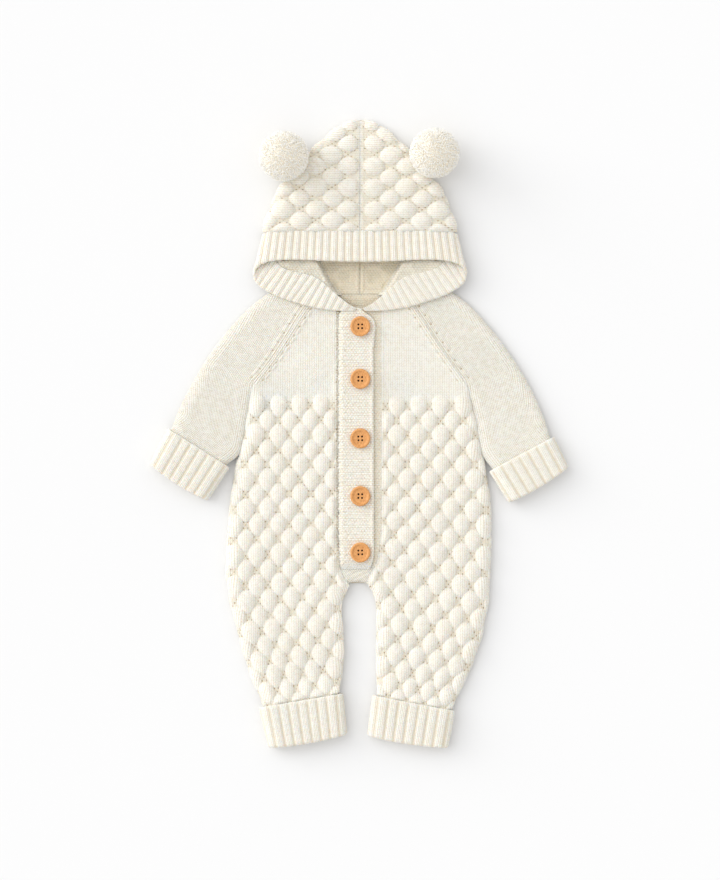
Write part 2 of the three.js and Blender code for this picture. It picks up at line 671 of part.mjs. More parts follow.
// The hood's upper layer on one side, with its raised bubbles, rolled under at the side.
function hoodTop(sign) {
  const cell = HOOD_PITCH_ALONG / CELL_STEPS;
  const rows = [...stepsBetween(HOOD_BASE, HOOD_TIP - 2, cell), HOOD_TIP];
  const step = HOOD_PITCH_ACROSS / CELL_STEPS;
  const offset = (HOOD_FIRST_BUBBLE % step) - step;
  const places = Array.from({ length: 18 }, (_, k) => offset + k * step);
  const layer = (lifted) =>
    rows.map((y) => {
      const half = valueAt(HOOD_OUTLINE, "y", "half", y);
      const height = valueAt(HOOD_OUTLINE, "y", "height", y);
      const across = Math.min(HOOD_ROLL, half - SEAM);
      const down = height / 2;
      const flat = half - across;
      const arc = (Math.PI * (across + down)) / 2;
      const whole = flat + arc + Math.min(HOOD_RETURN, flat - SEAM / 2);
      const columns = [SEAM / 2, ...places.map((p) => Math.min(whole - 2, Math.max(SEAM / 2, p))), whole];
      return columns.map((place) => {
        const relief =
          HOOD_LIFT *
          ease(flat + 0.8 * arc, flat + 0.3 * arc, place) *
          ease(HOOD_TIP + 2, HOOD_TIP - 9, y) *
          bubble((place - HOOD_FIRST_BUBBLE) / HOOD_PITCH_ACROSS, (y - HOOD_BUBBLE_Y) / HOOD_PITCH_ALONG + 0.5);
        const lift = lifted ? relief : -HOOD_CLOTH;
        if (place <= flat) return new THREE.Vector3(sign * place, y, height + lift);
        if (place >= flat + arc)
          return new THREE.Vector3(sign * (flat - (place - flat - arc)), y, lifted ? 0 : HOOD_CLOTH);
        const angle = Math.PI / 2 - ((place - flat) / arc) * Math.PI;
        return new THREE.Vector3(
          sign * (flat + (across + lift) * Math.cos(angle)),
          y,
          down + (down + lift) * Math.sin(angle),
        );
      });
    });
  return clothWall(layer(true), layer(false), everyFew(rows.length, 4), everyFew(places.length + 2, 4));
}

// Underside of the hood's lower layer: on the surface at the back of the head, up on the shoulders at the sides.
function underHeight(u, y) {
  const climb = ease(SHOULDER_FROM, SHOULDER_TO, y);
  const line = valueAt(NECK_ROLL, "y", "u", y);
  return SHOULDER_LIFT * climb * ease(line - 1, line - 1 + NECK_ROLL_WIDTH, u);
}

// The hood's lower layer on one side, from the tip to the neck seam and the brim.
function hoodUnder(sign) {
  const shares = [0, 0.12, 0.22, 0.28, 0.34, 0.4, 0.47, 0.58, 0.7, 0.84, 1];
  const stops = [0, 0.25, 0.5, 0.66, 0.72, 0.78, 0.84, 0.9, 0.95, 1];
  const sideAt = (y) =>
    y < HOOD_BASE
      ? valueAt(HOOD_UNDER_SIDE, "y", "u", y)
      : Math.max(2.5, valueAt(HOOD_OUTLINE, "y", "half", y) - HOOD_ROLL - 0.5);
  const layer = (lift) =>
    stops.map((stop) =>
      shares.map((share) => {
        const end = valueAt(HOOD_UNDER_END, "u", "y", share * HOOD_UNDER_SIDE[0].u);
        const y = HOOD_TIP - 1 + (end - HOOD_TIP + 1) * stop;
        const u = SEAM / 2 + share * (sideAt(y) - SEAM / 2);
        return new THREE.Vector3(sign * u, y, underHeight(u, y) + lift);
      }),
    );
  return clothWall(layer(0), layer(HOOD_CLOTH));
}

function hoodHalf(sign) {
  return geometryOf(solidOf(hoodTop(sign)).add(solidOf(hoodUnder(sign))));
}

// The ribbed brim, one strip round the face opening. Its outer side shows above the face
// and its inner side on the shoulders, so the ribs are raised on the side that shows.
function hoodBrim() {
  const half = BRIM.map((row, i) => ({ ...row, i }));
  const mirrored = half.slice(1).map((row) => ({ ...row, i: -row.i, sU: -row.sU, fU: -row.fU }));
  const path = [...mirrored.toReversed(), ...half];
  const last = BRIM.length - 1;
  const place = (at, width) => {
    const s = ["sU", "sy", "sz"].map((c) => valueAt(path, "i", c, at));
    const f = ["fU", "fy", "fz"].map((c) => valueAt(path, "i", c, at));
    return new THREE.Vector3(...s).lerp(new THREE.Vector3(...f), width);
  };
  const outward = (at) => {
    const along = place(at + 0.05, 0.5).sub(place(at - 0.05, 0.5));
    const down = place(at, 1).sub(place(at, 0));
    return down.cross(along).normalize();
  };
  const fineCount = 400;
  const fine = Array.from({ length: fineCount + 1 }, (_, i) => (last * i) / fineCount);
  const lengths = [0];
  for (let i = 1; i <= fineCount; i++)
    lengths.push(lengths[i - 1] + place(fine[i], 0.5).distanceTo(place(fine[i - 1], 0.5)));
  const whereAt = (share) => {
    const wanted = Math.abs(share) * lengths[fineCount];
    const i = Math.max(1, lengths.findIndex((length) => length >= wanted));
    return Math.sign(share) * fine[i];
  };
  const count = BRIM_RIBS * 2;
  const columns = Array.from({ length: 2 * count + 1 }, (_, k) => k - count);
  const ribAt = (k) => (k % 2 ? RIB_LIFT : 0);
  const layer = (side) =>
    [0, 0.93, 1].map((width) =>
      columns.map((k) => {
        const at = Math.max(-last + 0.001, Math.min(last - 0.001, whereAt(k / count)));
        const lip = ease(5.6, 7.6, Math.abs(at));
        const shown = side > 0 ? 1 - lip : lip;
        const taper = 1 - 0.6 * ease(last - 2.5, last, Math.abs(at));
        const rounded = width === 1 ? 0.45 : 1;
        const lift = (BRIM_CLOTH / 2 + shown * ribAt(k) * taper) * rounded;
        return place(at, width).addScaledVector(outward(at), side * lift);
      }),
    );
  return clothWall(layer(1), layer(-1));
}

// A flat band between two edges that follow a table, a little rounded at its edges.
function band(table, floor, thickness) {
  const shares = [0, 0.06, 0.5, 0.94, 1];
  const rounding = [0.5, 0, -0.3, 0, 0.5];
  const rows = [...new Set([...table.map((row) => row.y), ...stepsBetween(BAND_BOTTOM, BAND_TOP, 60)])];
  rows.sort((a, b) => a - b);
  const layer = (top) =>
    rows.map((y) => {
      const left = valueAt(table, "y", "left", y);
      const right = valueAt(table, "y", "right", y);
      return shares.map((share, i) => {
        const z = top ? floor + thickness - rounding[i] : floor;
        return new THREE.Vector3(left + (right - left) * share, y, z);
      });
    });
  return clothWall(layer(true), layer(false));
}

// The small plain piece between the legs, under the end of the bands, rolled down at the crotch.
function crotchGusset() {
  const rows = [
    { y: -136.6, z: BODY_HEIGHT, inset: 0 },
    { y: -142, z: BODY_HEIGHT, inset: 0 },
    { y: -146, z: BODY_HEIGHT - 0.6, inset: 0.3 },
    { y: -148.4, z: BODY_HEIGHT - 2.4, inset: 1.4 },
    { y: -149.2, z: BODY_HEIGHT - 4.4, inset: 2.4 },
  ];
  const shares = [0, 0.25, 0.5, 0.75, 1];
  const layer = (outside) =>
    rows.map(({ y, z, inset }) => {
      const left = -valueAt(RIGHT_PANEL, "y", "inner", y) + GUSSET_GAP;
      const right = valueAt(LEFT_PANEL, "y", "inner", y) - GUSSET_GAP;
      return shares.map((share) => {
        const x = left + (right - left) * share;
        const [dy, dz] = outside ? [0, 0] : [inset, inset > 1 ? -0.4 : -CLOTH];
        return new THREE.Vector3(x, y + dy, z + dz);
      });
    });
  return clothWall(layer(true), layer(false));
}

// A wooden button: a turned disc with a raised rim, a dished middle and four holes.
function button() {
  const r = BUTTON_RADIUS;
  const profile = [
    [0, 0],
    [r - 1, 0],
    [r, 1.6],
    [r, BUTTON_HEIGHT - 1.1],
    [r - 1.1, BUTTON_HEIGHT],
    [r - BUTTON_RIM, BUTTON_HEIGHT - 0.2],
    [r - BUTTON_RIM - 1, BUTTON_HEIGHT - BUTTON_DISH],
    [0, BUTTON_HEIGHT - BUTTON_DISH],
  ].map(([x, y]) => new THREE.Vector2(x, y));
  const disc = new THREE.LatheGeometry(profile, 15).rotateX(Math.PI / 2);
  let solid = solidOf(disc);
  for (const [sx, sy] of [[-1, -1], [-1, 1], [1, -1], [1, 1]]) {
    const drill = new THREE.CylinderGeometry(BUTTON_HOLE, BUTTON_HOLE, 4 * BUTTON_HEIGHT, 6);
    drill.rotateX(Math.PI / 2);
    drill.translate(sx * BUTTON_HOLE_OFFSET, sy * BUTTON_HOLE_OFFSET, 0);
    solid = solid.subtract(solidOf(drill));
  }
  return geometryOf(solid);
}

// One lock of yarn as a three-sided bar that widens to its cut end.
function lockOfYarn(root, reach, turn) {
  const corner = (radius, i) => [
    radius * Math.cos(turn + (i * 2 * Math.PI) / 3),
    radius * Math.sin(turn + (i * 2 * Math.PI) / 3),
  ];
  const end = (radius, at) => [0, 1, 2].map((i) => new THREE.Vector3(...corner(radius, i), at));
  const [low, high] = [end(LOCK_ROOT, root), end(LOCK_END, reach)];
  const sides = [0, 1, 2].flatMap((i) => {
    const j = (i + 1) % 3;
    return [
      [low[i], low[j], high[j]],
      [low[i], high[j], high[i]],
    ];
  });
  return closedGeometry([...sides, [low[0], low[2], low[1]], high]);
}

// A pompom: locks of yarn that stand out of a round core, and the tie that holds it to the hood.
function pompom(centre) {
  const out = new THREE.Vector3(0, 0, 1);
  const golden = Math.PI * (3 - Math.sqrt(5));
  const inward = new THREE.Vector3(-Math.sign(centre.x) * 0.83, -0.2, -0.56).normalize();
  const solids = [solidOf(new THREE.IcosahedronGeometry(POMPOM_CORE, 1))];
  for (let i = 0; i < POMPOM_LOCKS; i++) {
    const z = 1 - (2 * (i + 0.5)) / POMPOM_LOCKS;
    const ring = Math.sqrt(1 - z * z);
    const direction = new THREE.Vector3(ring * Math.cos(golden * i), ring * Math.sin(golden * i), z);
    const pressed = 5 * ease(0.55, 0.85, direction.dot(inward));
    const reach = POMPOM_RADIUS - 0.4 * (1 + Math.sin(7 * i)) - pressed;
    const lock = lockOfYarn(POMPOM_CORE - 4, reach, i);
    lock.applyQuaternion(new THREE.Quaternion().setFromUnitVectors(out, direction));
    solids.push(solidOf(lock));
  }
  const tie = new THREE.CylinderGeometry(1.6, 1.6, TIE_LENGTH, 6);
  tie.rotateX(Math.PI / 2);
  tie.translate(0, 0, TIE_LENGTH / 2);
  tie.applyQuaternion(new THREE.Quaternion().setFromUnitVectors(out, inward));
  solids.push(solidOf(tie));
  return geometryOf(wasm.Manifold.union(solids)).translate(centre.x, centre.y, centre.z);
}

const romper = new THREE.Group();

function add(name, geometry, material) {
  const mesh = new THREE.Mesh(geometry, material);
  mesh.name = name;
  romper.add(mesh);
  return mesh;
}

add("back", backPanel(), knit);
add("front_right", frontPanel(RIGHT_SIDE), knit);
add("front_left", frontPanel(LEFT_SIDE), knit);
add("sleeve_right", sleeve(RIGHT_SLEEVE, RIGHT_SIDE), knit);
add("sleeve_left", sleeve(LEFT_SLEEVE, LEFT_SIDE), knit);
add("wrist_cuff_right", cuff(WRIST_RIGHT, SLEEVE_HEIGHT, -1), knit);
add("wrist_cuff_left", cuff(WRIST_LEFT, SLEEVE_HEIGHT, 1), knit);
add("ankle_cuff_right", cuff(ANKLE_RIGHT, BODY_HEIGHT, -1), knit);
add("ankle_cuff_left", cuff(ANKLE_LEFT, BODY_HEIGHT, 1), knit);
add("hood_right", hoodHalf(-1), knit);
add("hood_left", hoodHalf(1), knit);
add("hood_brim", hoodBrim(), knit);
add("band_under", band(UNDER_BAND, BODY_HEIGHT - CLOTH, CLOTH), knit);
add("band_over", band(OVER_BAND, OVER_BAND_Z, CLOTH), knit);
add("crotch_gusset", crotchGusset(), knit);
BUTTON_Y.forEach((y, i) => {
  const placed = add(`button_${i + 1}`, button(), wood);
  placed.position.set(BUTTON_X, y, OVER_BAND_Z + CLOTH + 2 * SEAM);
});
add("pompom_right", pompom(POMPOM_RIGHT), yarn);
add("pompom_left", pompom(POMPOM_LEFT), yarn);

export default romper;
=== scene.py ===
"""Knitted pieces of a hooded baby romper, laid flat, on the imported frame.

Lengths are worked out in millimetres and put into the meshes in metres. u is the distance
from the centre line, x grows towards the wearer's left side, y towards the hood's tip.
"""

import math

import bpy
import numpy as np
from bpy.props import FloatProperty, FloatVectorProperty, IntProperty, PointerProperty
from bpy.types import Operator, Panel, PropertyGroup
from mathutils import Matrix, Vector


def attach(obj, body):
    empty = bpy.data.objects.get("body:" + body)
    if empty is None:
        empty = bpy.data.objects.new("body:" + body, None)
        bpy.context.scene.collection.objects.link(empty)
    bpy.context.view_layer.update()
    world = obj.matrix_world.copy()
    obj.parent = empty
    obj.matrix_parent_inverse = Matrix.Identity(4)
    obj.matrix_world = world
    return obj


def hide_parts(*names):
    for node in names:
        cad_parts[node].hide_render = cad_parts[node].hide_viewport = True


bl_info = {
    "name": "Knitted Baby Romper",
    "version": (1, 0, 0),
    "blender": (4, 5, 0),
    "location": "View3D > Sidebar > Romper",
    "description": "Knits the pieces of a hooded baby romper over its packed frame",
    "category": "Object",
}

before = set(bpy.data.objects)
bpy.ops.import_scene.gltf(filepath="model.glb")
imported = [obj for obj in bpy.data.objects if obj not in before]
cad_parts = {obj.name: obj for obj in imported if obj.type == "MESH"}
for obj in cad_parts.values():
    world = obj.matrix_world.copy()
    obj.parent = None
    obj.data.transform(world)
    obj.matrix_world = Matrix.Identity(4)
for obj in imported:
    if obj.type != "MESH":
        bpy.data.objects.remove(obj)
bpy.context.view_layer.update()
MM = 0.001

# Laid heights are those of the solids. Seams lap a little further than theirs do.
SEAM = 0.3
BODY_HEIGHT = 9.0
SLEEVE_HEIGHT = 8.6
SIDE_ROLL = 11
SLEEVE_SEAM = 0.5
SLEEVE_GAP = -2.0
UNDERARM_Y = 47
PANEL_TOP = 149
BACK_TOP = 142
CROTCH_Y = -150
SLEEVE_ROLL_FROM = 62
SLEEVE_ROLL_TO = 24
CUFF_GAP = 0.6
CUFF_LAYER_GAP = 0.8
CUFF_TUCK = 12
CUFF_ROLL = 11
CUFF_BULGE = 2.2
RISE_LENGTH = 26
RIB_PITCH = 7.4
CUFF_RIB_PITCH = 9.9
HOOD_BASE = 200.6
HOOD_SEAM = 0.04
HOOD_TIP = 313
HOOD_ROLL = 14
HOOD_RETURN = 3
SHOULDER_LIFT = 9.7
SHOULDER_FROM = 197
SHOULDER_TO = 167
NECK_ROLL_WIDTH = 6
BRIM_RIBS = 30
BAND_TOP = 125.5
BAND_BOTTOM = -136
GUSSET_GAP = -1.5
BUTTON_X = 0.3
BUTTON_Y = (106.5, 54, -5.4, -63, -119.3)

# Laid front panels: y, inner edge, outer edge
RIGHT_PANEL = np.array([
    (-290, 23.5, 92), (-275, 22.8, 96), (-266, 21.7, 99.5), (-257, 20.4, 104),
    (-241, 17.5, 110), (-223, 16.1, 116), (-204, 16.1, 121), (-183, 18, 126.5),
    (-171, 17.6, 129.5), (-164, 15.6, 131), (-157, 12.6, 132), (-152.5, 10.6, 132.7),
    (-146, 15.5, 133.4), (-137, 18.8, 134), (-120, 19.6, 133.7), (-87, 20.4, 131.5),
    (-63, 20.4, 129), (-39, 20.4, 125.2), (-19, 20.4, 120.5), (3, 20.4, 116.4),
    (18, 20.4, 113.5), (33, 20.4, 111), (47, 20.4, 107.5), (61, 20.4, 97),
    (73, 20.4, 88), (93, 20.4, 75), (113, 20.4, 62.4), (129, 21, 52),
    (135, 22, 48), (142, 28.6, 43.5), (154, 36.8, 36.2),
])
LEFT_PANEL = np.array([
    (-290, 18.5, 86.5), (-279, 18.2, 90.5), (-268, 17.6, 95.6), (-257, 17, 101),
    (-241, 16, 108.5), (-223, 15.7, 115.5), (-204, 16, 121.5), (-183, 16.5, 125.8),
    (-171, 15.6, 128), (-164, 13.8, 129), (-157, 11, 129.4), (-151.5, 8, 129.6),
    (-146, 8.2, 129.8), (-137, 12.6, 130), (-120, 18, 131), (-104, 20.1, 131.1), (-87, 20.4, 131.2),
    (-63, 20.4, 129.8), (-39, 20.4, 126), (-19, 20.4, 122.5), (3, 20.4, 118.5),
    (18, 20.4, 115), (33, 20.4, 111.5), (47, 20.4, 107.5), (61, 20.4, 98),
    (73, 20.4, 89.5), (93, 20.4, 76), (113, 20.4, 63), (129, 20.6, 52),
    (135, 21, 48), (142, 28.6, 43.5), (154, 36.8, 36.2),
])
# Bubble stitch: y, place of its second column, pitch across, half rows from the first, slant
RIGHT_BUBBLES = np.array([
    (-290, 38, 18.4, 21.3, 0.17), (-267, 42, 19.3, 19.8, 0.16), (-255, 44, 19.8, 19, 0.145),
    (-238, 47, 20.3, 17.9, 0.13), (-209, 53, 21.4, 16, 0.11), (-180, 56.3, 22.1, 14.05, 0.095),
    (-150, 59, 22, 12.05, 0.08), (-60, 60, 21.7, 5.93, 0.01), (27.3, 60.4, 21.6, 0, 0),
    (60, 60.4, 21.6, -2.2, 0),
])
LEFT_BUBBLES = np.array([
    (-290, 34, 18.2, 21.2, 0.24), (-275, 36, 18.6, 20.2, 0.23), (-257, 39, 19.3, 19, 0.21),
    (-238, 42.7, 20.7, 17.8, 0.19), (-222, 45.7, 21.1, 16.75, 0.175), (-205, 49, 21.8, 15.7, 0.16),
    (-180, 52.3, 22.2, 14.1, 0.145), (-150, 54.3, 22.8, 12.15, 0.125), (-60, 58, 22.3, 5.95, 0.02),
    (26.5, 58.6, 22.2, 0, 0), (60, 58.6, 22.2, -2.3, 0),
])
RIGHT_SIDE = {
    "name": "right", "sign": -1, "table": RIGHT_PANEL, "slant": 0.166, "middle": 58,
    "edge": -267.4, "bubbles": RIGHT_BUBBLES,
}
LEFT_SIDE = {
    "name": "left", "sign": 1, "table": LEFT_PANEL, "slant": 0.193, "middle": 54,
    "edge": -270.2, "bubbles": LEFT_BUBBLES,
}
SIDES = (RIGHT_SIDE, LEFT_SIDE)

# Sleeves from the neck down: row, underarm side u and y, shoulder side u and y.
# An underarm u of 0 means that the sleeve lies on the panel's edge there.
SLEEVES = {
    "right": np.array([
        (0, 0, 151, 58, 158), (1, 0, 129, 81, 147), (2, 0, 110, 104, 131), (3, 0, 89, 124, 112),
        (4, 0, 67, 142, 90.5), (5, 0, 47, 156, 70), (6, 0, 18, 169, 47), (7, 0, -17, 181, 24),
        (8, 133.6, -32.5, 189.3, 2.7), (9, 139.8, -42.8, 195.2, -7.8),
    ]),
    "left": np.array([
        (0, 0, 151, 58, 158), (1, 0, 129, 82, 147), (2, 0, 110, 106, 131), (3, 0, 89, 127, 109),
        (4, 0, 67, 144, 88), (5, 0, 47, 158, 67), (6, 0, 18, 171, 44), (7, 0, -17, 183, 18),
        (8, 132.7, -36.8, 190.4, -5.7), (9, 138.6, -47.2, 196.1, -16.3),
    ]),
}
SLEEVE_BESIDE = 7

# Corners of the laid cuffs: inner and outer at the seam, outer and inner at the turned edge,
# then how much of a rib lies before the first groove
CUFFS = {
    "wrist_cuff_right": ((130.5, -34.5), (192.4, 4.6), (210.8, -31.4), (152.6, -68), 0.43),
    "wrist_cuff_left": ((129.5, -38.5), (193.6, -4), (208.6, -34.5), (149, -70), 0.18),
    "ankle_cuff_right": ((17, -260.5), (101, -274.5), (91, -315), (13, -301.5), 0.64),
    "ankle_cuff_left": ((12.2, -262), (95, -278), (88, -315), (7, -302.5), 0.59),
}

# Hood outline: y, half width, laid height
HOOD_OUTLINE = np.array([
    (202, 97.5, 16), (217, 92.6, 15.7), (235, 85.6, 15.2), (249, 77.5, 14.5),
    (257, 68.5, 13.8), (276, 54, 12), (285, 46, 11), (295, 34, 9.6),
    (304, 23, 8), (309.5, 14, 6.8), (313, 4, 6.2),
])
# Hood bubbles, which lie sideways: first column, pitches across and along, height of a first row
HOOD_BUBBLES = {"right": (11.8, 32.4, 21.9, 223.4), "left": (14.4, 31.8, 22.0, 222.8)}
HOOD_UNDER_END = np.array([
    (0, 137.6), (19, 137.6), (23, 138.2), (27, 139.8), (32, 143.6), (37.5, 148.8), (47, 155.2),
    (66, 160), (79, 165), (82, 167),
])
HOOD_UNDER_SIDE = np.array([(166, 79.2), (178, 86.9), (190, 91), (202, 90)])
NECK_ROLL = np.array([(124, 3), (132, 13), (142, 22), (155, 31), (171, 39), (193, 46)])

# Brim from the forehead to the front neck: row, sewn edge u y z, free edge u y z
BRIM = np.array([
    (0, 0, 201.65, 14.7, 0, 171, 16.2), (1, 30, 201.65, 14.7, 31, 171.6, 16.2),
    (2, 60, 201.65, 14.6, 62, 173, 16.1), (3, 80, 201.5, 14.2, 84, 172.2, 15.9),
    (4, 92, 200.4, 11.8, 97, 169, 15.2), (5, 96.4, 196.5, 7.4, 104.2, 163.5, 13.6),
    (6, 93.5, 188.5, 4.2, 106.4, 156.5, 12.1), (7, 87, 177.5, 7.6, 103.6, 149.5, 11.4),
    (8, 79, 166.6, 11, 96, 143.6, 11.4), (9, 66, 161.4, 11.3, 81.5, 136.2, 11.4),
    (10, 47, 156.8, 11.3, 66, 131, 11.4), (11, 37.5, 151, 11.3, 51, 126.6, 11.4),
    (12, 27, 141.6, 11.3, 36, 123.6, 11.4), (13, 13, 130, 11.3, 18, 121.9, 11.4),
    (14, 3, 124.4, 11.3, 4.4, 121.8, 11.4),
])

# Bands: y, left edge, right edge
OVER_BAND = np.array([
    (-136, -19.6, 10.6), (-128, -20.2, 12.8), (-118, -20.7, 14), (-95, -21.5, 14),
    (60, -21.6, 13.6), (83, -21.6, 13.6), (95, -21.6, 14.6), (104, -21.6, 15.4),
    (110, -21.5, 15), (114, -21.4, 13.2), (118, -21, 10.2), (121, -20.5, 7.4), (125.5, -9, 3),
])
UNDER_BAND = np.array([
    (-136, -12, 14.6), (-120, -13.5, 20), (-95, -13.5, 22.5), (120, -13.5, 22.5), (125.5, -6, 19),
])
# Crotch piece: y, height, how far its inner face is set in
GUSSET = np.array([
    (-149.2, BODY_HEIGHT - 4.4, 2.4), (-148.4, BODY_HEIGHT - 2.4, 1.4),
    (-146, BODY_HEIGHT - 0.6, 0.3), (-142, BODY_HEIGHT, 0), (-131, BODY_HEIGHT, 0),
])
# Button profile: radius, height
BUTTON_PROFILE = np.array([
    (0, 0), (8.6, 0), (9.3, 0.2), (9.8, 0.8), (10, 1.6), (10, 3.0), (9.85, 3.7), (9.4, 4.2),
    (8.9, 4.4), (8.2, 4.4), (7.7, 4.15), (7.2, 3.6), (6.7, 3.35), (6, 3.25), (0, 3.2),
])
POMPOMS = {"pompom_right": (-76, 276, 26), "pompom_left": (74.2, 279, 26)}
POMPOM_RADIUS = 25.4


def colour(name, text, value):
    """A linear colour property with its default."""
    return FloatVectorProperty(
        name=name, description=text, subtype="COLOR", size=3, min=0, max=1, default=value
    )


def length(name, text, value):
    """A length property in metres with its default."""
    return FloatProperty(name=name, description=text, unit="LENGTH", min=0, default=value)


class RomperSizes(PropertyGroup):
    """Thicknesses and raised stitches that a user may change."""

    cloth: length("Plain knit", "Wall of the fronts, back and sleeves", 0.0026)
    rib_cloth: length("Ribbed knit", "Wall of one layer of a cuff", 0.0024)
    brim_cloth: length("Brim", "Wall of the hood's ribbed brim", 0.0030)
    hood_cloth: length("Hood knit", "Wall of the hood", 0.0025)
    bubble_lift: length("Bubbles", "Height of a bubble on the body", 0.0036)
    hood_lift: length("Hood bubbles", "Height of a bubble on the hood", 0.0042)
    rib_lift: length("Ribs", "Height of a rib on cuffs and brim", 0.00095)
    mesh_step: length("Mesh step", "Distance between points of the knitted surfaces", 0.00125)
    strands: IntProperty(
        name="Strands", description="Cut ends of yarn in a pompom", min=100, default=3600
    )


class RomperColours(PropertyGroup):
    """Yarn, wood and studio colours, linear, with the colours of painted shade in recesses, grooves and gaps."""

    yarn: colour("Yarn", "Ivory yarn", (0.94, 0.92, 0.855))
    # Recess shade: the colour of painted shade in recesses, and the tone that random tints lean towards.
    recess_shade: colour("Recess", "Yarn between raised stitches", (0.78, 0.68, 0.51))
    # Groove shade: the colour of painted shade in the valleys of stitches, also of random speckle.
    groove_shade: colour("Groove", "Yarn in the grooves of a stitch", (0.62, 0.53, 0.39))
    # Gap shade: the colour of painted shade in small gaps and holes between stitches.
    gap: colour("Gap", "Small gaps between stitches", (0.42, 0.30, 0.16))
    # Inside: a darker copy of the yarn, partly the purl side's own tone and partly painted shade; it colours the inner
    # faces of the body, sleeves and hood, and the hood's lower layer.
    inside: colour("Inside", "Purl side inside the hood", (0.86, 0.82, 0.72))
    tips: colour("Tips", "Cut ends of the pompom yarn", (0.975, 0.95, 0.885))
    wood: colour("Wood", "Light side of the button wood", (0.80, 0.40, 0.145))
    wood_grain: colour("Grain", "Dark lines in the button wood", (0.55, 0.22, 0.06))
    floor: colour("Floor", "Pale studio floor", (0.86, 0.86, 0.86))


# Tables and easing ---------------------------------------------------------


def follow(table, column, at):
    """Value of a table's column at a place given in its first column.

    A cubic runs through the rows; its slope at a row is that of the line between the
    rows on either side of it.
    """
    x, y = table[:, 0], table[:, column]
    at = np.clip(at, x[0], x[-1])
    last = len(x) - 1
    index = np.clip(np.searchsorted(x, at, side="right") - 1, 0, last - 1)
    before = np.maximum(np.arange(last + 1) - 1, 0)
    after = np.minimum(np.arange(last + 1) + 1, last)
    slope = (y[after] - y[before]) / (x[after] - x[before])
    step = x[index + 1] - x[index]
    t = (at - x[index]) / step
    return (
        y[index] * (2 * t**3 - 3 * t**2 + 1)
        + slope[index] * step * (t**3 - 2 * t**2 + t)
        + y[index + 1] * (3 * t**2 - 2 * t**3)
        + slope[index + 1] * step * (t**3 - t**2)
    )


def ease(start, stop, at):
    """From 0 to 1 between two values, as 3t squared less 2t cubed."""
    t = np.clip((at - start) / (stop - start), 0, 1)
    return t * t * (3 - 2 * t)


def hump(at, centre, width):
    """A bell of height 1: e to the minus square of the distance in widths."""
    return np.exp(-(((at - centre) / width) ** 2))


def spread(start, stop, longest):
    """Evenly spaced values from one to another, no further apart than the given step."""
    count = max(1, math.ceil(abs(stop - start) / longest))
    return np.linspace(start, stop, count + 1)


# Meshes --------------------------------------------------------------------


def grid_faces(index, points):
    """Triangles of a grid of point numbers, each face split along its lower diagonal."""
    a, b = index[:-1, :-1].ravel(), index[:-1, 1:].ravel()
    c, d = index[1:, 1:].ravel(), index[1:, :-1].ravel()
    height = points[:, 2]
    across = (height[a] + height[c] <= height[b] + height[d])[:, None]
    first = np.where(across, np.stack([a, b, c], 1), np.stack([a, b, d], 1))
    second = np.where(across, np.stack([a, c, d], 1), np.stack([b, c, d], 1))
    return np.concatenate([first, second])


def fan_faces(fine, coarse, marks):
    """Triangles between a fine chain and a coarse one whose points stand at the marks."""
    owner = np.searchsorted(marks, np.arange(len(fine) - 1), side="right") - 1
    return np.concatenate([
        np.stack([coarse[owner], fine[:-1], fine[1:]], 1),
        np.stack([coarse[:-1], fine[marks[1:]], coarse[1:]], 1),
    ])


def shares(count, squeeze, both=True):
    """Shares from 0 to 1 that stand closer at both edges, or at the first one alone.

    A sine of one whole turn, or of half a turn, is taken off an even run.
    """
    even = np.linspace(0, 1, count)[None, :]
    turn = 2 * math.pi if both else math.pi
    return even - squeeze * np.sin(turn * even) / turn


def every_few(count, few):
    """Every so many places of a chain, and its last one."""
    return np.unique(np.append(np.arange(0, count, few), count - 1))


def patch(points, faces, stitch, recess_shade, lattice=None, finish=0):
    """One closed surface, its faces turned out by the sign of the volume that they hold."""
    a, b, c = (points[faces[:, i]] for i in range(3))
    if np.einsum("ij,ij->i", a, np.cross(b, c)).sum() < 0:
        faces = faces[:, ::-1]
    return {
        "points": points,
        "faces": faces,
        "stitch": stitch,
        "recess_shade": recess_shade,
        "lattice": np.zeros_like(stitch) if lattice is None else lattice,
        "finish": np.zeros(len(faces), int) + finish,
    }


def cloth_wall(outer, inner, stitch, recess_shade, lattice=None, finish=0, behind=0, behind_shade=0.0, few=4, joined=0):
    """A wall of cloth: a fine grid outside, a plainer one behind it, and a rim between.

    The first column's rim is left out of the first joined rows, where another half meets it.
    The plain side has a finish of its own, and the given amount is added to its painted recess shade.
    """
    rows, columns = outer.shape[:2]
    kept_rows = np.unique(np.append(every_few(rows, few), joined))
    kept_columns = every_few(columns, few)
    kept = np.ix_(kept_rows, kept_columns)
    fine = np.arange(rows * columns).reshape(rows, columns)
    plain = fine.size + np.arange(len(kept_rows) * len(kept_columns)).reshape(len(kept_rows), -1)

    def both(values):
        return np.concatenate([
            values.reshape(fine.size, -1), values[kept].reshape(plain.size, -1)
        ])

    points = np.concatenate([outer.reshape(-1, 3), inner[kept].reshape(-1, 3)])
    start = np.searchsorted(kept_rows, joined)
    left = fan_faces(fine[joined:, 0], plain[start:, 0], kept_rows[start:] - joined)
    front, back = grid_faces(fine, points), grid_faces(plain, points)[:, ::-1]
    faces = np.concatenate([
        front,
        back,
        fan_faces(fine[0], plain[0], kept_columns)[:, ::-1],
        fan_faces(fine[-1], plain[-1], kept_columns),
        left,
        fan_faces(fine[:, -1], plain[:, -1], kept_rows)[:, ::-1],
    ])
    grid = None if lattice is None else both(lattice)
    finishes = np.full(len(faces), finish)
    finishes[len(front) : len(front) + len(back)] = behind
    deep_shade = both(recess_shade)[:, 0]
    deep_shade[fine.size :] += behind_shade
    return patch(points, faces, both(stitch), deep_shade, grid, finishes)


def ring_wall(points, stitch, recess_shade, finish=0):
    """A surface that closes in both directions, such as a profile carried round a tube."""
    rows, columns = points.shape[:2]
    index = np.arange(rows * columns).reshape(rows, columns)
    flat = points.reshape(-1, 3)
    return patch(flat, grid_faces(index, flat), stitch.reshape(-1, 2), recess_shade.ravel(), None, finish)


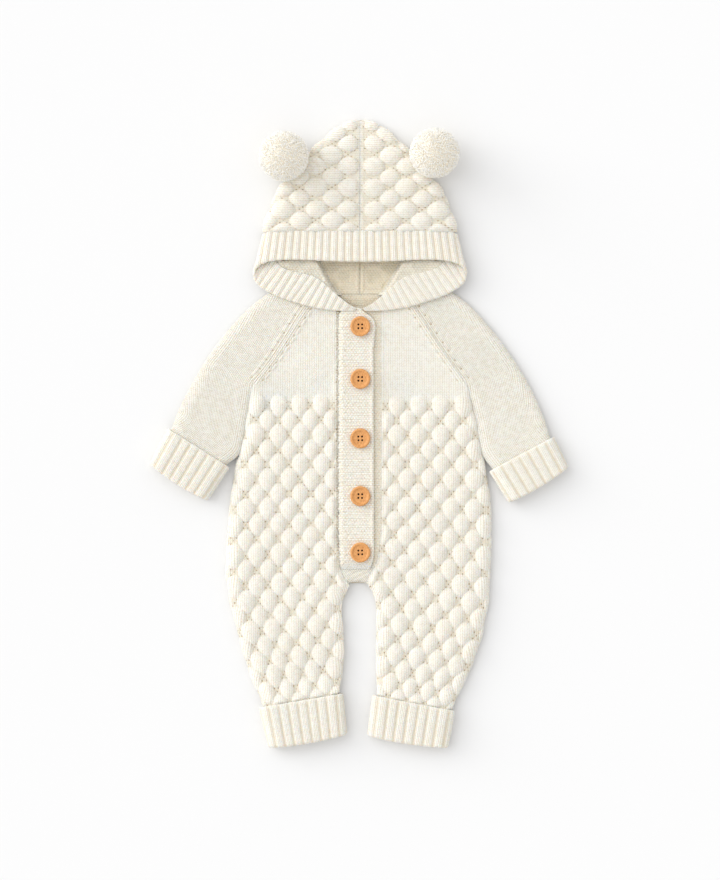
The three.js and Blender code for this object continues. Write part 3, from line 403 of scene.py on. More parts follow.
def make_piece(name, patches, finishes, nodes):
    """One object of welded patches with its maps, materials, body and replaced nodes."""
    starts = np.cumsum([0] + [len(p["points"]) for p in patches])
    points = np.concatenate([p["points"] for p in patches])
    faces = np.concatenate([p["faces"] + start for p, start in zip(patches, starts)])
    finish = np.concatenate([p["finish"] for p in patches])
    _, first, same = np.unique(
        np.round(points, 3), axis=0, return_index=True, return_inverse=True
    )
    welded = same.reshape(-1)[faces]
    whole = (
        (welded[:, 0] != welded[:, 1])
        & (welded[:, 1] != welded[:, 2])
        & (welded[:, 2] != welded[:, 0])
    )
    faces, welded, finish = faces[whole], welded[whole], finish[whole]

    mesh = bpy.data.meshes.new(name)
    mesh.vertices.add(len(first))
    mesh.vertices.foreach_set("co", (points[first] * MM).astype(np.float32).ravel())
    mesh.loops.add(welded.size)
    mesh.loops.foreach_set("vertex_index", welded.astype(np.int32).ravel())
    mesh.polygons.add(len(welded))
    mesh.polygons.foreach_set("loop_start", np.arange(0, welded.size, 3, dtype=np.int32))
    mesh.polygons.foreach_set("material_index", finish.astype(np.int32))
    mesh.update(calc_edges=True)
    for key in ("stitch", "lattice"):
        values = np.concatenate([p[key] for p in patches])[faces.ravel()]
        layer = mesh.uv_layers.new(name=key)
        layer.data.foreach_set("uv", values.astype(np.float32).ravel())
    # Painted shade amount at each point, which the finishes read.
    recess_shade = np.concatenate([p["recess_shade"] for p in patches])[first]
    shade = mesh.attributes.new("recess_shade", "FLOAT", "POINT")
    shade.data.foreach_set("value", recess_shade.astype(np.float32))
    mesh.polygons.foreach_set("use_smooth", np.ones(len(welded), dtype=bool))
    mesh.validate()
    mesh.update()

    piece = bpy.data.objects.new(name, mesh)
    bpy.context.scene.collection.objects.link(piece)
    for material in finishes:
        mesh.materials.append(material)
    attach(piece, "root")
    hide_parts(*nodes)
    return piece


# Laid sections -------------------------------------------------------------


def laid_section(inner, outer, inner_roll, outer_roll, height, roll, seam=SEAM):
    """A layer that is flat on top and rolls down at either edge by part of a quarter ellipse.

    Places across it are measured along the cloth, from the centre line where it is flat.
    """
    across = np.minimum(roll, (outer - inner) / 2)
    down = height / 2
    flattest = math.asin(seam / 2 / down)
    inner_angle = np.maximum(flattest, math.pi / 2 * (1 - inner_roll))
    outer_angle = np.maximum(flattest, math.pi / 2 * (1 - outer_roll))
    flat_from = inner + across * np.cos(inner_angle)
    flat_to = outer - across * np.cos(outer_angle)
    per_radian = (across + down) / 2
    return {
        "across": across,
        "down": down,
        "flat_from": flat_from,
        "flat_to": flat_to,
        "per_radian": per_radian,
        "start": flat_from - (math.pi / 2 - inner_angle) * per_radian,
        "end": flat_to + (math.pi / 2 - outer_angle) * per_radian,
    }


def laid_point(section, place, lift):
    """Distance from the centre line and height of a place, moved out by lift."""
    beyond = np.maximum(place - section["flat_to"], 0)
    before = np.maximum(section["flat_from"] - place, 0)
    angle = math.pi / 2 - (beyond + before) / section["per_radian"]
    reach = (section["across"] + lift) * np.cos(angle)
    u = np.where(beyond > 0, section["flat_to"] + reach, place)
    u = np.where(before > 0, section["flat_from"] - reach, u)
    return u, section["down"] + (section["down"] + lift) * np.sin(angle)


def rise_at(distance):
    """How far a limb has risen to lie inside its cuff, from its distance past the edge."""
    return (2.4 + CUFF_GAP) * ease(-RISE_LENGTH, 0, distance)


def body_section(side, y, is_back):
    """The laid section of a body panel at rows y. A leg's rows slant with its cuff."""
    slant = side["slant"] * ease(-165, -262, y)

    def edge(column):
        guess = follow(side["table"], column, y)
        return follow(side["table"], column, y - slant * (guess - side["middle"]))

    inner = np.where(is_back & (y > CROTCH_Y), 0, edge(1))
    roll_in = ease(-148, -168, y)
    roll_out = ease(UNDERARM_Y + 12, UNDERARM_Y - 24, y)
    section = laid_section(inner, edge(2), roll_in, roll_out, BODY_HEIGHT, SIDE_ROLL)
    section["slant"] = slant
    return section


def body_point(side, y, section, place, lift, is_back=False):
    """A point of a body panel, turned over for the back and raised into the cuff."""
    u, z = laid_point(section, place, lift)
    z = BODY_HEIGHT - z if is_back else z
    long = y - section["slant"] * (u - side["middle"])
    z = z + rise_at(side["edge"] - y)
    return np.stack(np.broadcast_arrays(side["sign"] * u, long, z), -1)


# Raised stitches -----------------------------------------------------------


def bubble(across, along, wide, tall, egg=0.0, first_row=-1e6, first_column=-1e6):
    """Height 0 to 1 of egg-shaped domes at whole places and at the halves between them.

    Reach is the sum of the squares of the two offsets from a dome's middle, each over its
    half size, and a dome narrows along by its egg share; the height is 1 less reach, to the
    power 0.62. Sizes and places differ a little by a sine of the dome's number. Domes before
    the first row or column are left out.
    """
    def dome(p, q, half):
        cell_p, cell_q = np.round(p), np.round(q)
        number = 12.9 * (cell_p + half) + 7.7 * (cell_q + half)
        size = 1 + 0.06 * np.sin(number)
        off_p = p - cell_p - 0.025 * np.sin(2.3 * number)
        off_q = q - cell_q - 0.02 * np.sin(3.1 * number)
        narrow = size * (1 - egg * off_q / tall)
        reach = (off_p / (wide * narrow)) ** 2 + (off_q / (tall * size)) ** 2
        height = size * np.clip(1 - reach, 0, 1) ** 0.62
        return height * (cell_q + half > first_row) * (cell_p + half > first_column)

    return np.maximum(dome(across, along, 0), dome(across - 0.5, along - 0.5, 0.5))


def body_lattice(side, place, y):
    """Where a place is in the bubble stitch: columns across and whole rows along."""
    table = side["bubbles"]
    level = y + follow(table, 4, y) * (place - 60)
    across = (place - follow(table, 1, y)) / follow(table, 2, y)
    return across, follow(table, 3, level) / 2


def body_relief(side, place, y, section, lift):
    """Raised bubbles below the yoke, and the painted shade of their recesses from 0 to 1."""
    long = y - section["slant"] * (place - side["middle"])
    across, along = body_lattice(side, place, long)
    raised = bubble(across, along, 0.375, 0.39, 0.2, -0.2)
    raised = raised * (0.4 + 0.6 * ease(-0.4, -0.04, along))
    stitched = ease(-0.36, 0.02, along)
    fade_out = 0.3 + 0.7 * ease(section["end"], section["end"] - 13, place)
    fade_in = ease(section["start"] + 0.8, section["start"] + 6, place)
    cuff_end = ease(side["edge"], side["edge"] + 2.5, y)
    height = lift * (raised - 0.12 * stitched) * fade_out * fade_in * cuff_end
    recess_shade = stitched * (1 - np.clip(raised * 2.6, 0, 1))
    lattice = np.stack(np.broadcast_arrays(across + along, across - along), -1)
    return height, recess_shade, lattice


def raglan_relief(distance, along):
    """The chained seam of a raglan: two ridges beside the edge and a mark every so often."""
    beat = 1 + 0.25 * np.sin(2 * math.pi * along / 3.1)
    chain = (1.2 * hump(distance, 1.7, 0.9) + 0.9 * hump(distance, 4.3, 0.8)) * beat
    mark = np.clip(np.cos(2 * math.pi * along / 11.5), 0, 1)
    puff = 0.9 * hump(distance, 7.6, 1.7) * (1 - mark) * ease(11, 8, distance)
    return chain + puff - 0.5 * ease(0.8, 0, distance) - 0.9 * hump(distance, 6.2, 1.1) * mark**6


def raglan_recess_shade(distance, along):
    """Painted shade in the grooves of the raglan seam and in a hole beside each of its marks."""
    mark = np.clip(np.cos(2 * math.pi * along / 11.5), 0, 1)
    hole = 2.3 * hump(distance, 6.2, 1.1) * mark**6
    groove_shade = ease(0.9, 0, distance) + 0.9 * hump(distance, 3.0, 0.6) + 0.4 * hump(distance, 5.8, 0.6)
    return np.maximum(groove_shade, hole)


def ribs(turn, low=0.96, high=0.34):
    """Height 0 to 1 of a broad soft rib with a narrow groove, from its share of a pitch."""
    away = np.abs(2 * (turn - np.floor(turn)) - 1)
    return ease(low, high, away)


# Body ----------------------------------------------------------------------


def yoke_slack(side, place, y, section):
    """Uneven slack in a front: a trough above the bubbles and long low waves, as sines."""
    inside = ease(section["start"], section["start"] + 14, place)
    inside = inside * ease(section["end"], section["end"] - 14, place)
    trough = (1.3 if side["sign"] < 0 else 0.6) * hump(y + 0.25 * place, 52, 17)
    waves = 0.45 * np.sin(place / 15 + 1.4 * side["sign"]) * np.sin(y / 33 + 0.6)
    return inside * (waves - trough)


def front_panel(side, sizes):
    """A front: plain yoke, then bubbles, on the laid section of each row."""
    step = sizes.mesh_step / MM
    y = spread(PANEL_TOP, side["edge"] - CUFF_TUCK, step)[:, None]
    section = body_section(side, y, False)
    share = shares(int(128 / step), 0.45)
    place = section["start"] + share * (section["end"] - section["start"])
    lift, recess_shade, lattice = body_relief(side, place, y, section, sizes.bubble_lift / MM)
    distance = section["end"] - place
    raglan = ease(UNDERARM_Y - 4, UNDERARM_Y + 8, y)
    lift = lift + raglan * raglan_relief(distance, y * 1.3) + yoke_slack(side, place, y, section)
    recess_shade = np.maximum(recess_shade, raglan * raglan_recess_shade(distance, y * 1.3))
    front_edge = ease(-140, -132, y)
    near = place - section["start"]
    ragged = 3.7 + 0.7 * np.sin(2 * math.pi * y / 3.3) + 0.5 * np.sin(y / 1.9)
    if side["sign"] < 0:
        beside = front_edge * ease(ragged + 0.4, ragged - 1.2, near)
        slope = front_edge * ease(ragged + 3.5, ragged - 1.5, near)
        lift = lift * (1 - slope) - 0.6 * beside
        # Painted shade in the strip beside the band, with shaded holes where it passes 1.15.
        knot = 1.3 + 0.35 * np.sin(2 * math.pi * y / 3.1) + 0.15 * np.sin(y / 4.7 + 1)
        recess_shade = np.maximum(recess_shade, beside * knot)
    else:
        lift = lift - 0.5 * front_edge * ease(1.2, 0, near) + 0.4 * front_edge * hump(near, 2.2, 1.2)
    outer = body_point(side, y, section, place, lift)
    inner = body_point(side, y, section, place, -sizes.cloth / MM)
    stitch = np.stack(np.broadcast_arrays(place, y), -1)
    return cloth_wall(outer, inner, stitch, recess_shade, lattice, behind=1)


def back_half(side, sizes):
    """Half of the back, flat on the surface, rolled up at the side to meet the front."""
    upper = spread(BACK_TOP, CROTCH_Y + 0.01, 3.0)
    lower = spread(CROTCH_Y - 0.5, side["edge"] - CUFF_TUCK, 2.0)
    y = np.append(upper, lower)[:, None]
    section = body_section(side, y, True)
    share = np.linspace(0, 1, 72)[None, :]
    place = section["start"] + share * (section["end"] - section["start"])
    lift, recess_shade, lattice = body_relief(side, place, y, section, 1.2)
    shown = ease(section["flat_to"], section["flat_to"] + 9, place)
    lift = np.clip(lift, 0, None) * shown
    outer = body_point(side, y, section, place, lift, True)
    outer[..., 2] = np.maximum(outer[..., 2], 0)
    inner = body_point(side, y, section, place, -sizes.cloth / MM, True)
    stitch = np.stack(np.broadcast_arrays(place * side["sign"], y), -1)
    joined = len(upper) - 1
    # Extra painted shade on the back's inner side, which shows at the neck.
    return cloth_wall(outer, inner, stitch, recess_shade, lattice, behind=1, behind_shade=0.6, joined=joined, few=3)


# Sleeves -------------------------------------------------------------------


def sleeve_tube(side, sizes):
    """A sleeve: one sheet rolled into a laid tube, open along the raglan seam."""
    rows = SLEEVES[side["name"]].copy()

    def beside(y):
        return follow(side["table"], 2, y) + SLEEVE_GAP

    rows[: SLEEVE_BESIDE + 1, 1] = beside(rows[: SLEEVE_BESIDE + 1, 2])
    last = len(rows) - 1
    at = np.linspace(0, last, 170)[:, None]
    iy = follow(rows, 2, at)
    iu = np.where(at <= SLEEVE_BESIDE, beside(iy), follow(rows, 1, at))
    ou, oy = follow(rows, 3, at), follow(rows, 4, at)
    width = np.hypot(ou - iu, oy - iy)
    roll_in = ease(SLEEVE_ROLL_FROM, SLEEVE_ROLL_TO, iy)
    section = laid_section(0 * width, width, roll_in, 1 + 0 * width, SLEEVE_HEIGHT, SIDE_ROLL, SLEEVE_SEAM)
    share = shares(66, 0.45, False)
    spot = section["start"] + share * (section["end"] - section["start"])
    middle = np.stack([(iu + ou)[:, 0] / 2, (iy + oy)[:, 0] / 2], 1)
    along = np.append(0, np.cumsum(np.hypot(*np.diff(middle, axis=0).T)))[:, None]
    raglan = ease(UNDERARM_Y - 4, UNDERARM_Y + 8, iy)
    distance = spot - section["start"]
    soft = 0.35 * np.sin(spot / 15 + along / 23) * np.sin(along / 37 + 1.3)
    soft = soft - 0.7 * hump(along - 0.5 * spot, 104, 13) * hump(spot, 0, 18)
    lift = raglan * raglan_relief(distance, iy * 1.3) + soft * ease(0, 12, distance)
    recess_shade = raglan * raglan_recess_shade(distance, iy * 1.3) + 0 * spot
    rise = rise_at((at - last + 1) * CUFF_TUCK)

    def layer(lift_top, lift_under):
        made = []
        for is_under, amount in ((False, lift_top), (True, lift_under)):
            across, z = laid_point(section, spot, amount)
            share_across = across / width
            u = iu + (ou - iu) * share_across
            y = iy + (oy - iy) * share_across
            z = (SLEEVE_HEIGHT - z if is_under else z) + rise
            made.append(np.stack(np.broadcast_arrays(side["sign"] * u, y, z), -1))
        return np.concatenate([made[0], made[1][:, ::-1]], 1)

    cloth = -sizes.cloth / MM
    outer, inner = layer(lift, 0 * spot), layer(cloth + 0 * spot, cloth + 0 * spot)
    stitch = np.stack(np.broadcast_arrays(spot, along), -1)
    under = np.stack(np.broadcast_arrays(2 * section["end"] - spot, along), -1)[:, ::-1]
    both = np.concatenate([recess_shade, 0 * recess_shade], 1)
    return cloth_wall(outer, inner, np.concatenate([stitch, under], 1), both, behind=1)


# Cuffs ---------------------------------------------------------------------


def tube_point(width, height, turn, offset):
    """A place round a laid tube: flat above and below, with half an ellipse at each side."""
    across = np.minimum(CUFF_ROLL, width / 2)
    down = height / 2
    flat = width - 2 * across
    arc = math.pi * (across + down) / 2
    along = np.mod(turn, 1) * (2 * flat + 2 * arc)
    far, under, near = along - flat, along - flat - arc, along - 2 * flat - arc
    far_angle = math.pi / 2 - far / arc * math.pi
    near_angle = -math.pi / 2 - near / arc * math.pi
    choices = [along < flat, far < arc, under < flat]
    x = np.select(
        choices,
        [across + along, width - across + (across + offset) * np.cos(far_angle), width - across - under],
        across + (across + offset) * np.cos(near_angle),
    )
    z = np.select(
        choices,
        [height + offset + 0 * along, down + (down + offset) * np.sin(far_angle), -offset + 0 * along],
        down + (down + offset) * np.sin(near_angle),
    )
    return x, z


def cuff_ring(corners, first, limb_height, sign, sizes):
    """A ribbed cuff turned back on itself: a closed profile carried round a laid tube."""
    a, b, c, d = (np.array(corner, float) for corner in corners)
    wall = sizes.rib_cloth / MM
    height = limb_height + 2 * (2.4 + CUFF_GAP)
    layers = 2 * wall + CUFF_LAYER_GAP
    long = np.linalg.norm((c + d - a - b) / 2)
    tuck = (CUFF_TUCK + SEAM + 0.2) / long
    mean = np.linalg.norm(b - a)
    flat = mean - 2 * CUFF_ROLL
    arc = math.pi * (CUFF_ROLL + height / 2) / 2
    whole = 2 * flat + 2 * arc
    count = round(whole / CUFF_RIB_PITCH)
    turn = np.linspace(0, 1, count * 12 + 1)[None, :]

    fold = np.linspace(0, math.pi, 10)[1:-1]
    half = layers / 2
    profile = np.concatenate([
        np.stack([np.linspace(0.012, 0.93, 24), np.zeros(24)], 1),
        np.stack([0.93 + 0.07 * np.sin(fold), -half + half * np.cos(fold)], 1),
        np.stack([np.linspace(0.93, tuck, 8), np.full(8, -layers)], 1),
        np.stack([np.linspace(tuck, 0.86, 8), np.full(8, -layers + wall)], 1),
        np.stack([np.linspace(0.86, 0.012, 8), np.full(8, -wall)], 1),
        [(0.0, -wall * 0.8), (-0.006, -wall * 0.5), (0.0, -wall * 0.2), (0.012, 0.0)],
    ])
    v, offset = profile[:, :1], profile[:, 1:]
    shown = ease(-wall, -0.3 * wall, offset) + ease(0.9, 0.96, v) * (offset > -layers + 0.01)
    shown = np.clip(shown, 0, 1)
    start, end = a + (d - a) * v, b + (c - b) * v
    width = np.hypot(*(end - start).T)[:, None]
    rib = ribs(turn * count - first, 0.9, 0.46)
    plain_edge = 0.25 + 0.75 * ease(0, 0.075, v)
    flat_rib = 1 - 0.85 * hump(np.mod(turn, 1), (1.5 * flat + arc) / whole, flat / whole * 0.62)
    lift = sizes.rib_lift / MM * (rib - 0.35) * shown * flat_rib * plain_edge
    across, z = tube_point(width, height, turn, offset + lift)
    share = across / width
    bow = CUFF_BULGE * v * v * 4 * np.clip(share * (1 - share), 0, None)
    wave = 0.2 * ease(0.1, 0, v) * (rib - 0.5) * (offset > -wall)
    down = (d - a) / long
    u = start[:, :1] + (end[:, :1] - start[:, :1]) * share + (bow - wave) * down[0]
    y = start[:, 1:] + (end[:, 1:] - start[:, 1:]) * share + (bow - wave) * down[1]
    points = np.stack([sign * u, y, np.maximum(0, z)], -1)
    wales = (turn * count - first + 1 / 6) * 1.5 * RIB_PITCH
    stitch = np.stack(np.broadcast_arrays(wales, v * long + offset), -1)
    # Painted shade in the grooves between ribs, less near the seam edge.
    recess_shade = np.clip(1 - 2 * rib, 0, 1) * shown * plain_edge
    return ring_wall(points, stitch, recess_shade)


# Hood ----------------------------------------------------------------------


def hood_top(side, sizes):
    """The hood's upper layer on one side with sideways bubbles, rolled under at its edge."""
    step = sizes.mesh_step / MM
    y = np.append(spread(HOOD_BASE, HOOD_TIP - 2, step), [HOOD_TIP - 1, HOOD_TIP])[:, None]
    half, height = follow(HOOD_OUTLINE, 1, y), follow(HOOD_OUTLINE, 2, y)
    across = np.minimum(HOOD_ROLL, half - SEAM)
    down = height / 2
    flat = half - across
    arc = math.pi * (across + down) / 2
    whole = flat + arc + np.minimum(HOOD_RETURN, flat - SEAM / 2)
    share = np.linspace(0, 1, int(122 / step))[None, :]
    place = HOOD_SEAM + share * (whole - HOOD_SEAM)
    first, wide, tall, base = HOOD_BUBBLES[side["name"]]
    drawn_in = 1 + 0.55 * ease(288, 312, y)
    column, row = (place * drawn_in - first) / wide, (y - base) / tall
    raised = bubble(column, row, 0.335, 0.41, first_column=-0.2)
    side_fade = ease(flat + 0.8 * arc, flat + 0.15 * arc, place)
    side_fade = side_fade + (1 - side_fade) * 0.6 * ease(262, 285, y) * ease(flat + 0.92 * arc, flat + 0.6 * arc, place)
    seam_fade = ease(0.8, 4.6, place)
    base_fade = 0.25 + 0.75 * ease(HOOD_BASE - 1, HOOD_BASE + 6, y)
    tip_fade = ease(HOOD_TIP + 4, HOOD_TIP - 3, y)
    lift = sizes.hood_lift / MM * (raised * seam_fade - 0.1) * side_fade * base_fade * tip_fade
    ridge, dots = (0.15, 3.4) if side["sign"] < 0 else (0.35, 4.9)
    beat = 1 + 0.35 * np.sin(2 * math.pi * y / 3.9 + 1.2)
    lift = lift + ridge * hump(place, 2.2, 1.5) * side_fade * beat - 0.7 * ease(203.5, 201, y)
    puff = 0.45 * lift * ease(284, 303, y)

    def layer(amount, floor):
        angle = math.pi / 2 - np.clip((place - flat) / arc, 0, 1) * math.pi
        round_u = flat + (across + amount) * np.cos(angle)
        u = np.where(place <= flat, place, round_u)
        z = down + (down + amount) * np.sin(angle)
        under = place >= flat + arc
        u = np.where(under, flat - (place - flat - arc), u)
        z = np.where(under, floor, z)
        long = y + puff * (amount is lift)
        return np.stack(np.broadcast_arrays(side["sign"] * u, long, z), -1)

    outer = layer(lift, 0)
    outer[..., 2] = np.maximum(outer[..., 2], 0)
    inner = layer(-sizes.hood_cloth / MM + 0 * lift, sizes.hood_cloth / MM)
    # Painted shade in the creases between bubbles, less near the seam, and in holes beside the seam.
    recess_shade = 0.85 * (1 - np.clip(raised * seam_fade * 2.6, 0, 1)) * (0.45 + 0.55 * seam_fade)
    holes = hump(place, dots, 1.2) + 0.8 * hump(place, 0.4, 0.7)
    holes = holes * np.clip(np.sin(2 * math.pi * y / 3.9), 0, 1) ** 2
    recess_shade = np.maximum(recess_shade, 2.1 * holes * (0.65 + 0.35 * np.sin(y / 5.3)))
    lattice = np.stack(np.broadcast_arrays(column + row, column - row), -1)
    stitch = np.stack(np.broadcast_arrays(place, y), -1)
    return cloth_wall(outer, inner, stitch, recess_shade, lattice, behind=1, few=3)


def under_height(u, y):
    """Underside of the hood's lower layer: down at the back of the head, up on the shoulders."""
    climb = ease(SHOULDER_FROM, SHOULDER_TO, y)
    line = follow(NECK_ROLL, 1, y)
    return SHOULDER_LIFT * climb * ease(line - 1, line - 1 + NECK_ROLL_WIDTH, u)


def hood_under(side, sizes):
    """The hood's lower layer on one side, from the tip to the neck seam, purl side up."""
    share = np.linspace(0, 1, 96)[None, :]
    stop = np.linspace(0, 1, 150)[:, None]
    end = follow(HOOD_UNDER_END, 1, share * HOOD_UNDER_SIDE[0, 1])
    y = HOOD_TIP - 1 + (end - HOOD_TIP + 1) * stop
    beside = np.maximum(2.5, follow(HOOD_OUTLINE, 1, y) - HOOD_ROLL - 0.5)
    edge = np.where(y < HOOD_BASE, follow(HOOD_UNDER_SIDE, 1, y), beside)
    u = HOOD_SEAM + share * (edge - HOOD_SEAM)
    floor = under_height(u, y)
    first, wide, tall, base = HOOD_BUBBLES[side["name"]]
    raised = bubble((u - first) / wide, (y - base) / tall, 0.32, 0.38)
    tape = ease(HOOD_UNDER_END[2, 0] + 2, HOOD_UNDER_END[1, 0], u)
    inner_lift = -1.5 * raised * ease(6, 12, u) * (1 - tape * ease(152, 146, y))
    inner_lift = inner_lift + 1.0 * hump(u, 2.6, 1.4) * ease(141, 144, y)
    inner_lift = inner_lift + tape * (hump(y, 141.7, 0.8) + 0.8 * hump(y, 139.4, 0.8) - ease(138.6, 137.6, y))
    cloth = sizes.hood_cloth / MM
    outer = np.stack(np.broadcast_arrays(side["sign"] * u, y, floor + cloth + inner_lift), -1)
    inner = np.stack(np.broadcast_arrays(side["sign"] * u, y, floor), -1)
    # Painted shade in the seam groove and along the neck tape, and deep inside the neck roll.
    groove_shade = 0.6 * hump(u, 0, 0.7) * ease(141, 144, y) + 0.5 * tape * hump(y, 140.5, 0.5)
    line = follow(NECK_ROLL, 1, y)
    deep_shade = 0.62 * ease(line + 4, line - 2, u) * (1 - 0.6 * tape * hump(y, 140.5, 1.8))
    recess_shade = np.clip(0.25 * raised + groove_shade + deep_shade, 0, 1)
    stitch = np.stack(np.broadcast_arrays(u, y), -1)
    return cloth_wall(outer, inner, stitch, recess_shade, few=3, finish=1)


def brim_strip(sizes):
    """The ribbed brim, one strip round the face opening between its two edges.

    Its outer side shows above the face and its inner side on the shoulders, so the ribs
    rise on the side that shows.
    """
    mirrored = BRIM[:0:-1] * np.array([-1, -1, 1, 1, -1, 1, 1])
    path = np.concatenate([mirrored, BRIM])
    last = len(BRIM) - 1

    def place(at, width):
        sewn = np.stack([follow(path, i, at) for i in (1, 2, 3)], -1)
        free = np.stack([follow(path, i, at) for i in (4, 5, 6)], -1)
        return sewn + (free - sewn) * width

    fine = np.linspace(-last + 0.001, last - 0.001, 1601)
    middle = place(fine, 0.5)
    long = np.append(0, np.cumsum(np.linalg.norm(np.diff(middle, axis=0), axis=1)))
    count = 2 * BRIM_RIBS
    turn = np.linspace(-BRIM_RIBS, BRIM_RIBS, count * 9 + 1)
    at = np.interp(turn / count + 0.5, long / long[-1], fine)
    along = place(at + 0.05, 0.5) - place(at - 0.05, 0.5)
    down = place(at, 1.0) - place(at, 0.0)
    out = np.cross(down, along)
    out /= np.linalg.norm(out, axis=1)[:, None]
    lip = ease(5.6, 7.6, np.abs(at))[None, :]
    taper = 1 - 0.6 * ease(last - 2.5, last, np.abs(at))[None, :]
    width = np.append(np.linspace(0, 0.9, 22), 0.9 + 0.1 * np.sin(np.linspace(0.25, math.pi / 2, 6)))[:, None]
    edge = np.sqrt(np.clip(1 - (np.clip(width - 0.9, 0, None) / 0.1) ** 2, 0.02, 1))
    rib = ribs(turn[None, :])
    wall = sizes.brim_cloth / MM / 2

    def layer(face):
        shown = 1 - lip if face > 0 else lip
        lift = (wall + shown * sizes.rib_lift / MM * (rib - 0.15) * taper) * edge
        scallop = 0.012 * ease(0.8, 1, width) * (rib - 0.5)
        base = place(at[None, :] + 0 * width, (width + scallop)[..., None])
        return base + face * lift[..., None] * out[None]

    # Painted shade in the grooves between ribs, less on the part that lies on the shoulders.
    recess_shade = np.clip(1 - 2 * rib, 0, 1) * (1 - 0.4 * lip) + 0 * width
    across = np.broadcast_to(width * 31, recess_shade.shape)
    stitch = np.stack([np.broadcast_to(turn * RIB_PITCH, recess_shade.shape), across], -1)
    return cloth_wall(layer(1), layer(-1), stitch, recess_shade, few=1)


# Bands and crotch ----------------------------------------------------------


def garter(across, along):
    """Garter stitch: ridges across a band, each a row of small loops, from -0.5 to 0.5."""
    row = np.floor(along / 3.3)
    ridge = np.abs(np.sin(math.pi * along / 3.3))
    loop = np.sin(2 * math.pi * across / 2.6 + 1.9 * row)
    return ridge * (0.75 + 0.25 * loop) - 0.5


def band_strip(table, floor, thickness, top_round, sizes):
    """A flat band between two edges that follow a table, with garter stitch on its face."""
    y = spread(BAND_BOTTOM, BAND_TOP, 0.85)[:, None]
    ragged = 0.6 * np.sin(2 * math.pi * y / 3.4) + 0.55 * np.sin(y / 1.3) * np.sin(y / 7.1)
    left, right = follow(table, 1, y) + ragged, follow(table, 2, y)
    share = np.linspace(0, 1, 46)[None, :]
    x = left + (right - left) * share
    near = np.minimum(np.minimum(x - left, right - x), BAND_TOP - y)
    rounded = -1.5 * (1 - np.sqrt(np.clip(1 - np.clip(1 - near / 2.4, 0, 1) ** 2, 0, 1)))
    sunk = (top_round > 0) * np.maximum(1.3 * ease(5, 0, x - left), 2.1 * ease(-126, -135.5, y))
    edge = ease(3.6, 2.4, right - x)
    seed = np.sin(2.9 * x + 1.3 * np.sin(2.1 * y)) * np.sin(3.1 * y + 1.7 * np.sin(1.9 * x))
    bumpy = garter(x, y) + 0.5 * seed * ease(24, 6, x - left)
    shown = ease(0, 2.2, near) * (1 - edge) * ease(-135, -128, y)
    lift = 0.8 * bumpy * shown + 0.45 * edge + rounded - sunk
    long = y - top_round * ease(BAND_TOP - 12, BAND_TOP, y) * ease(0.55, 1, share) ** 2
    outer = np.stack(np.broadcast_arrays(x, long, floor + thickness + lift), -1)
    inner = np.stack(np.broadcast_arrays(x, long, floor + 0 * lift), -1)
    # Painted shade in the garter grooves, more near the left edge, and beside the over band's left edge; the under band
    # is shaded all over, with random speckle.
    recess_shade = np.clip(-1.2 * bumpy, 0, 1) * shown * (0.55 + 0.45 * ease(22, 4, x - left))
    recess_shade = recess_shade + 0.6 * ease(3.5, 0.3, x - left) * (top_round > 0)
    recess_shade = np.clip(recess_shade + (0.75 - 0.4 * seed) * (top_round == 0), 0, 1)
    stitch = np.stack(np.broadcast_arrays(x, y), -1)
    return cloth_wall(outer, inner, stitch, recess_shade)


def gusset_wall(sizes):
    """The small plain piece between the legs, rolled down at the crotch."""
    y = spread(GUSSET[-1, 0], GUSSET[0, 0], 0.5)[:, None]
    z, inset = follow(GUSSET, 1, y), follow(GUSSET, 2, y)
    left = -follow(RIGHT_PANEL, 1, y) + GUSSET_GAP
    right = follow(LEFT_PANEL, 1, y) - GUSSET_GAP
    share = np.linspace(0, 1, 34)[None, :]
    x = left + (right - left) * share
    y = y - 4.5 * (2 * share - 1) ** 4 * ease(-141, -148.5, y)
    drop = np.where(inset > 1, 0.4, sizes.cloth / MM)
    margin = ease(0, 0.15, share) * ease(1, 0.85, share)
    lift = 0.22 * np.sin(2 * math.pi * (0.9 * y - 0.4 * x) / 4.4) * margin - 0.7 * (1 - margin)
    outer = np.stack(np.broadcast_arrays(x, y, z + lift), -1)
    inner = np.stack(np.broadcast_arrays(x, y + inset, z - drop), -1)
    # Painted shade where the surface dips.
    recess_shade = np.clip(-lift * 0.9, 0, 1)
    stitch = np.stack(np.broadcast_arrays(x * 0.8 + y * 0.6, y * 0.8 - x * 0.6), -1)
    return cloth_wall(outer, inner, stitch, recess_shade, few=3)


# Buttons and pompoms -------------------------------------------------------


def button_disc(x, y, floor, turn):
    """A turned disc: its profile goes round the axis, with four pits pressed into the dish."""
    long = np.append(0, np.cumsum(np.hypot(*np.diff(BUTTON_PROFILE, axis=0).T)))
    spots = np.concatenate([
        np.linspace(0, long[-2] - 0.2, 42, endpoint=False),
        np.linspace(long[-2] - 0.2, long[-1], 34),
    ])
    radius = np.interp(spots, long, BUTTON_PROFILE[:, 0])[:, None]
    height = np.interp(spots, long, BUTTON_PROFILE[:, 1])[:, None]
    angle = np.linspace(0, 2 * math.pi, 97)[None, :]
    px, py = radius * np.cos(angle), radius * np.sin(angle)
    ca, sa = math.cos(turn), math.sin(turn)
    qx, qy = px * ca + py * sa, py * ca - px * sa
    from_pit = np.hypot(np.abs(qx) - 1.85, np.abs(qy) - 1.85)
    on_top = (spots > long[-2] - 0.2)[:, None]
    pit = ease(1.12, 0.78, from_pit) * on_top
    z = floor + height - 2.2 * pit
    points = np.stack(np.broadcast_arrays(x + px, y + py, z), -1)
    points[:, -1] = points[:, 0]
    stitch = np.stack([qx + 13.7 * y, qy + 3.1 * y], -1)
    index = np.arange(points.shape[0] * points.shape[1]).reshape(points.shape[:2])
    flat = points.reshape(-1, 3)
    return patch(flat, grid_faces(index, flat), stitch.reshape(-1, 2), pit.ravel())


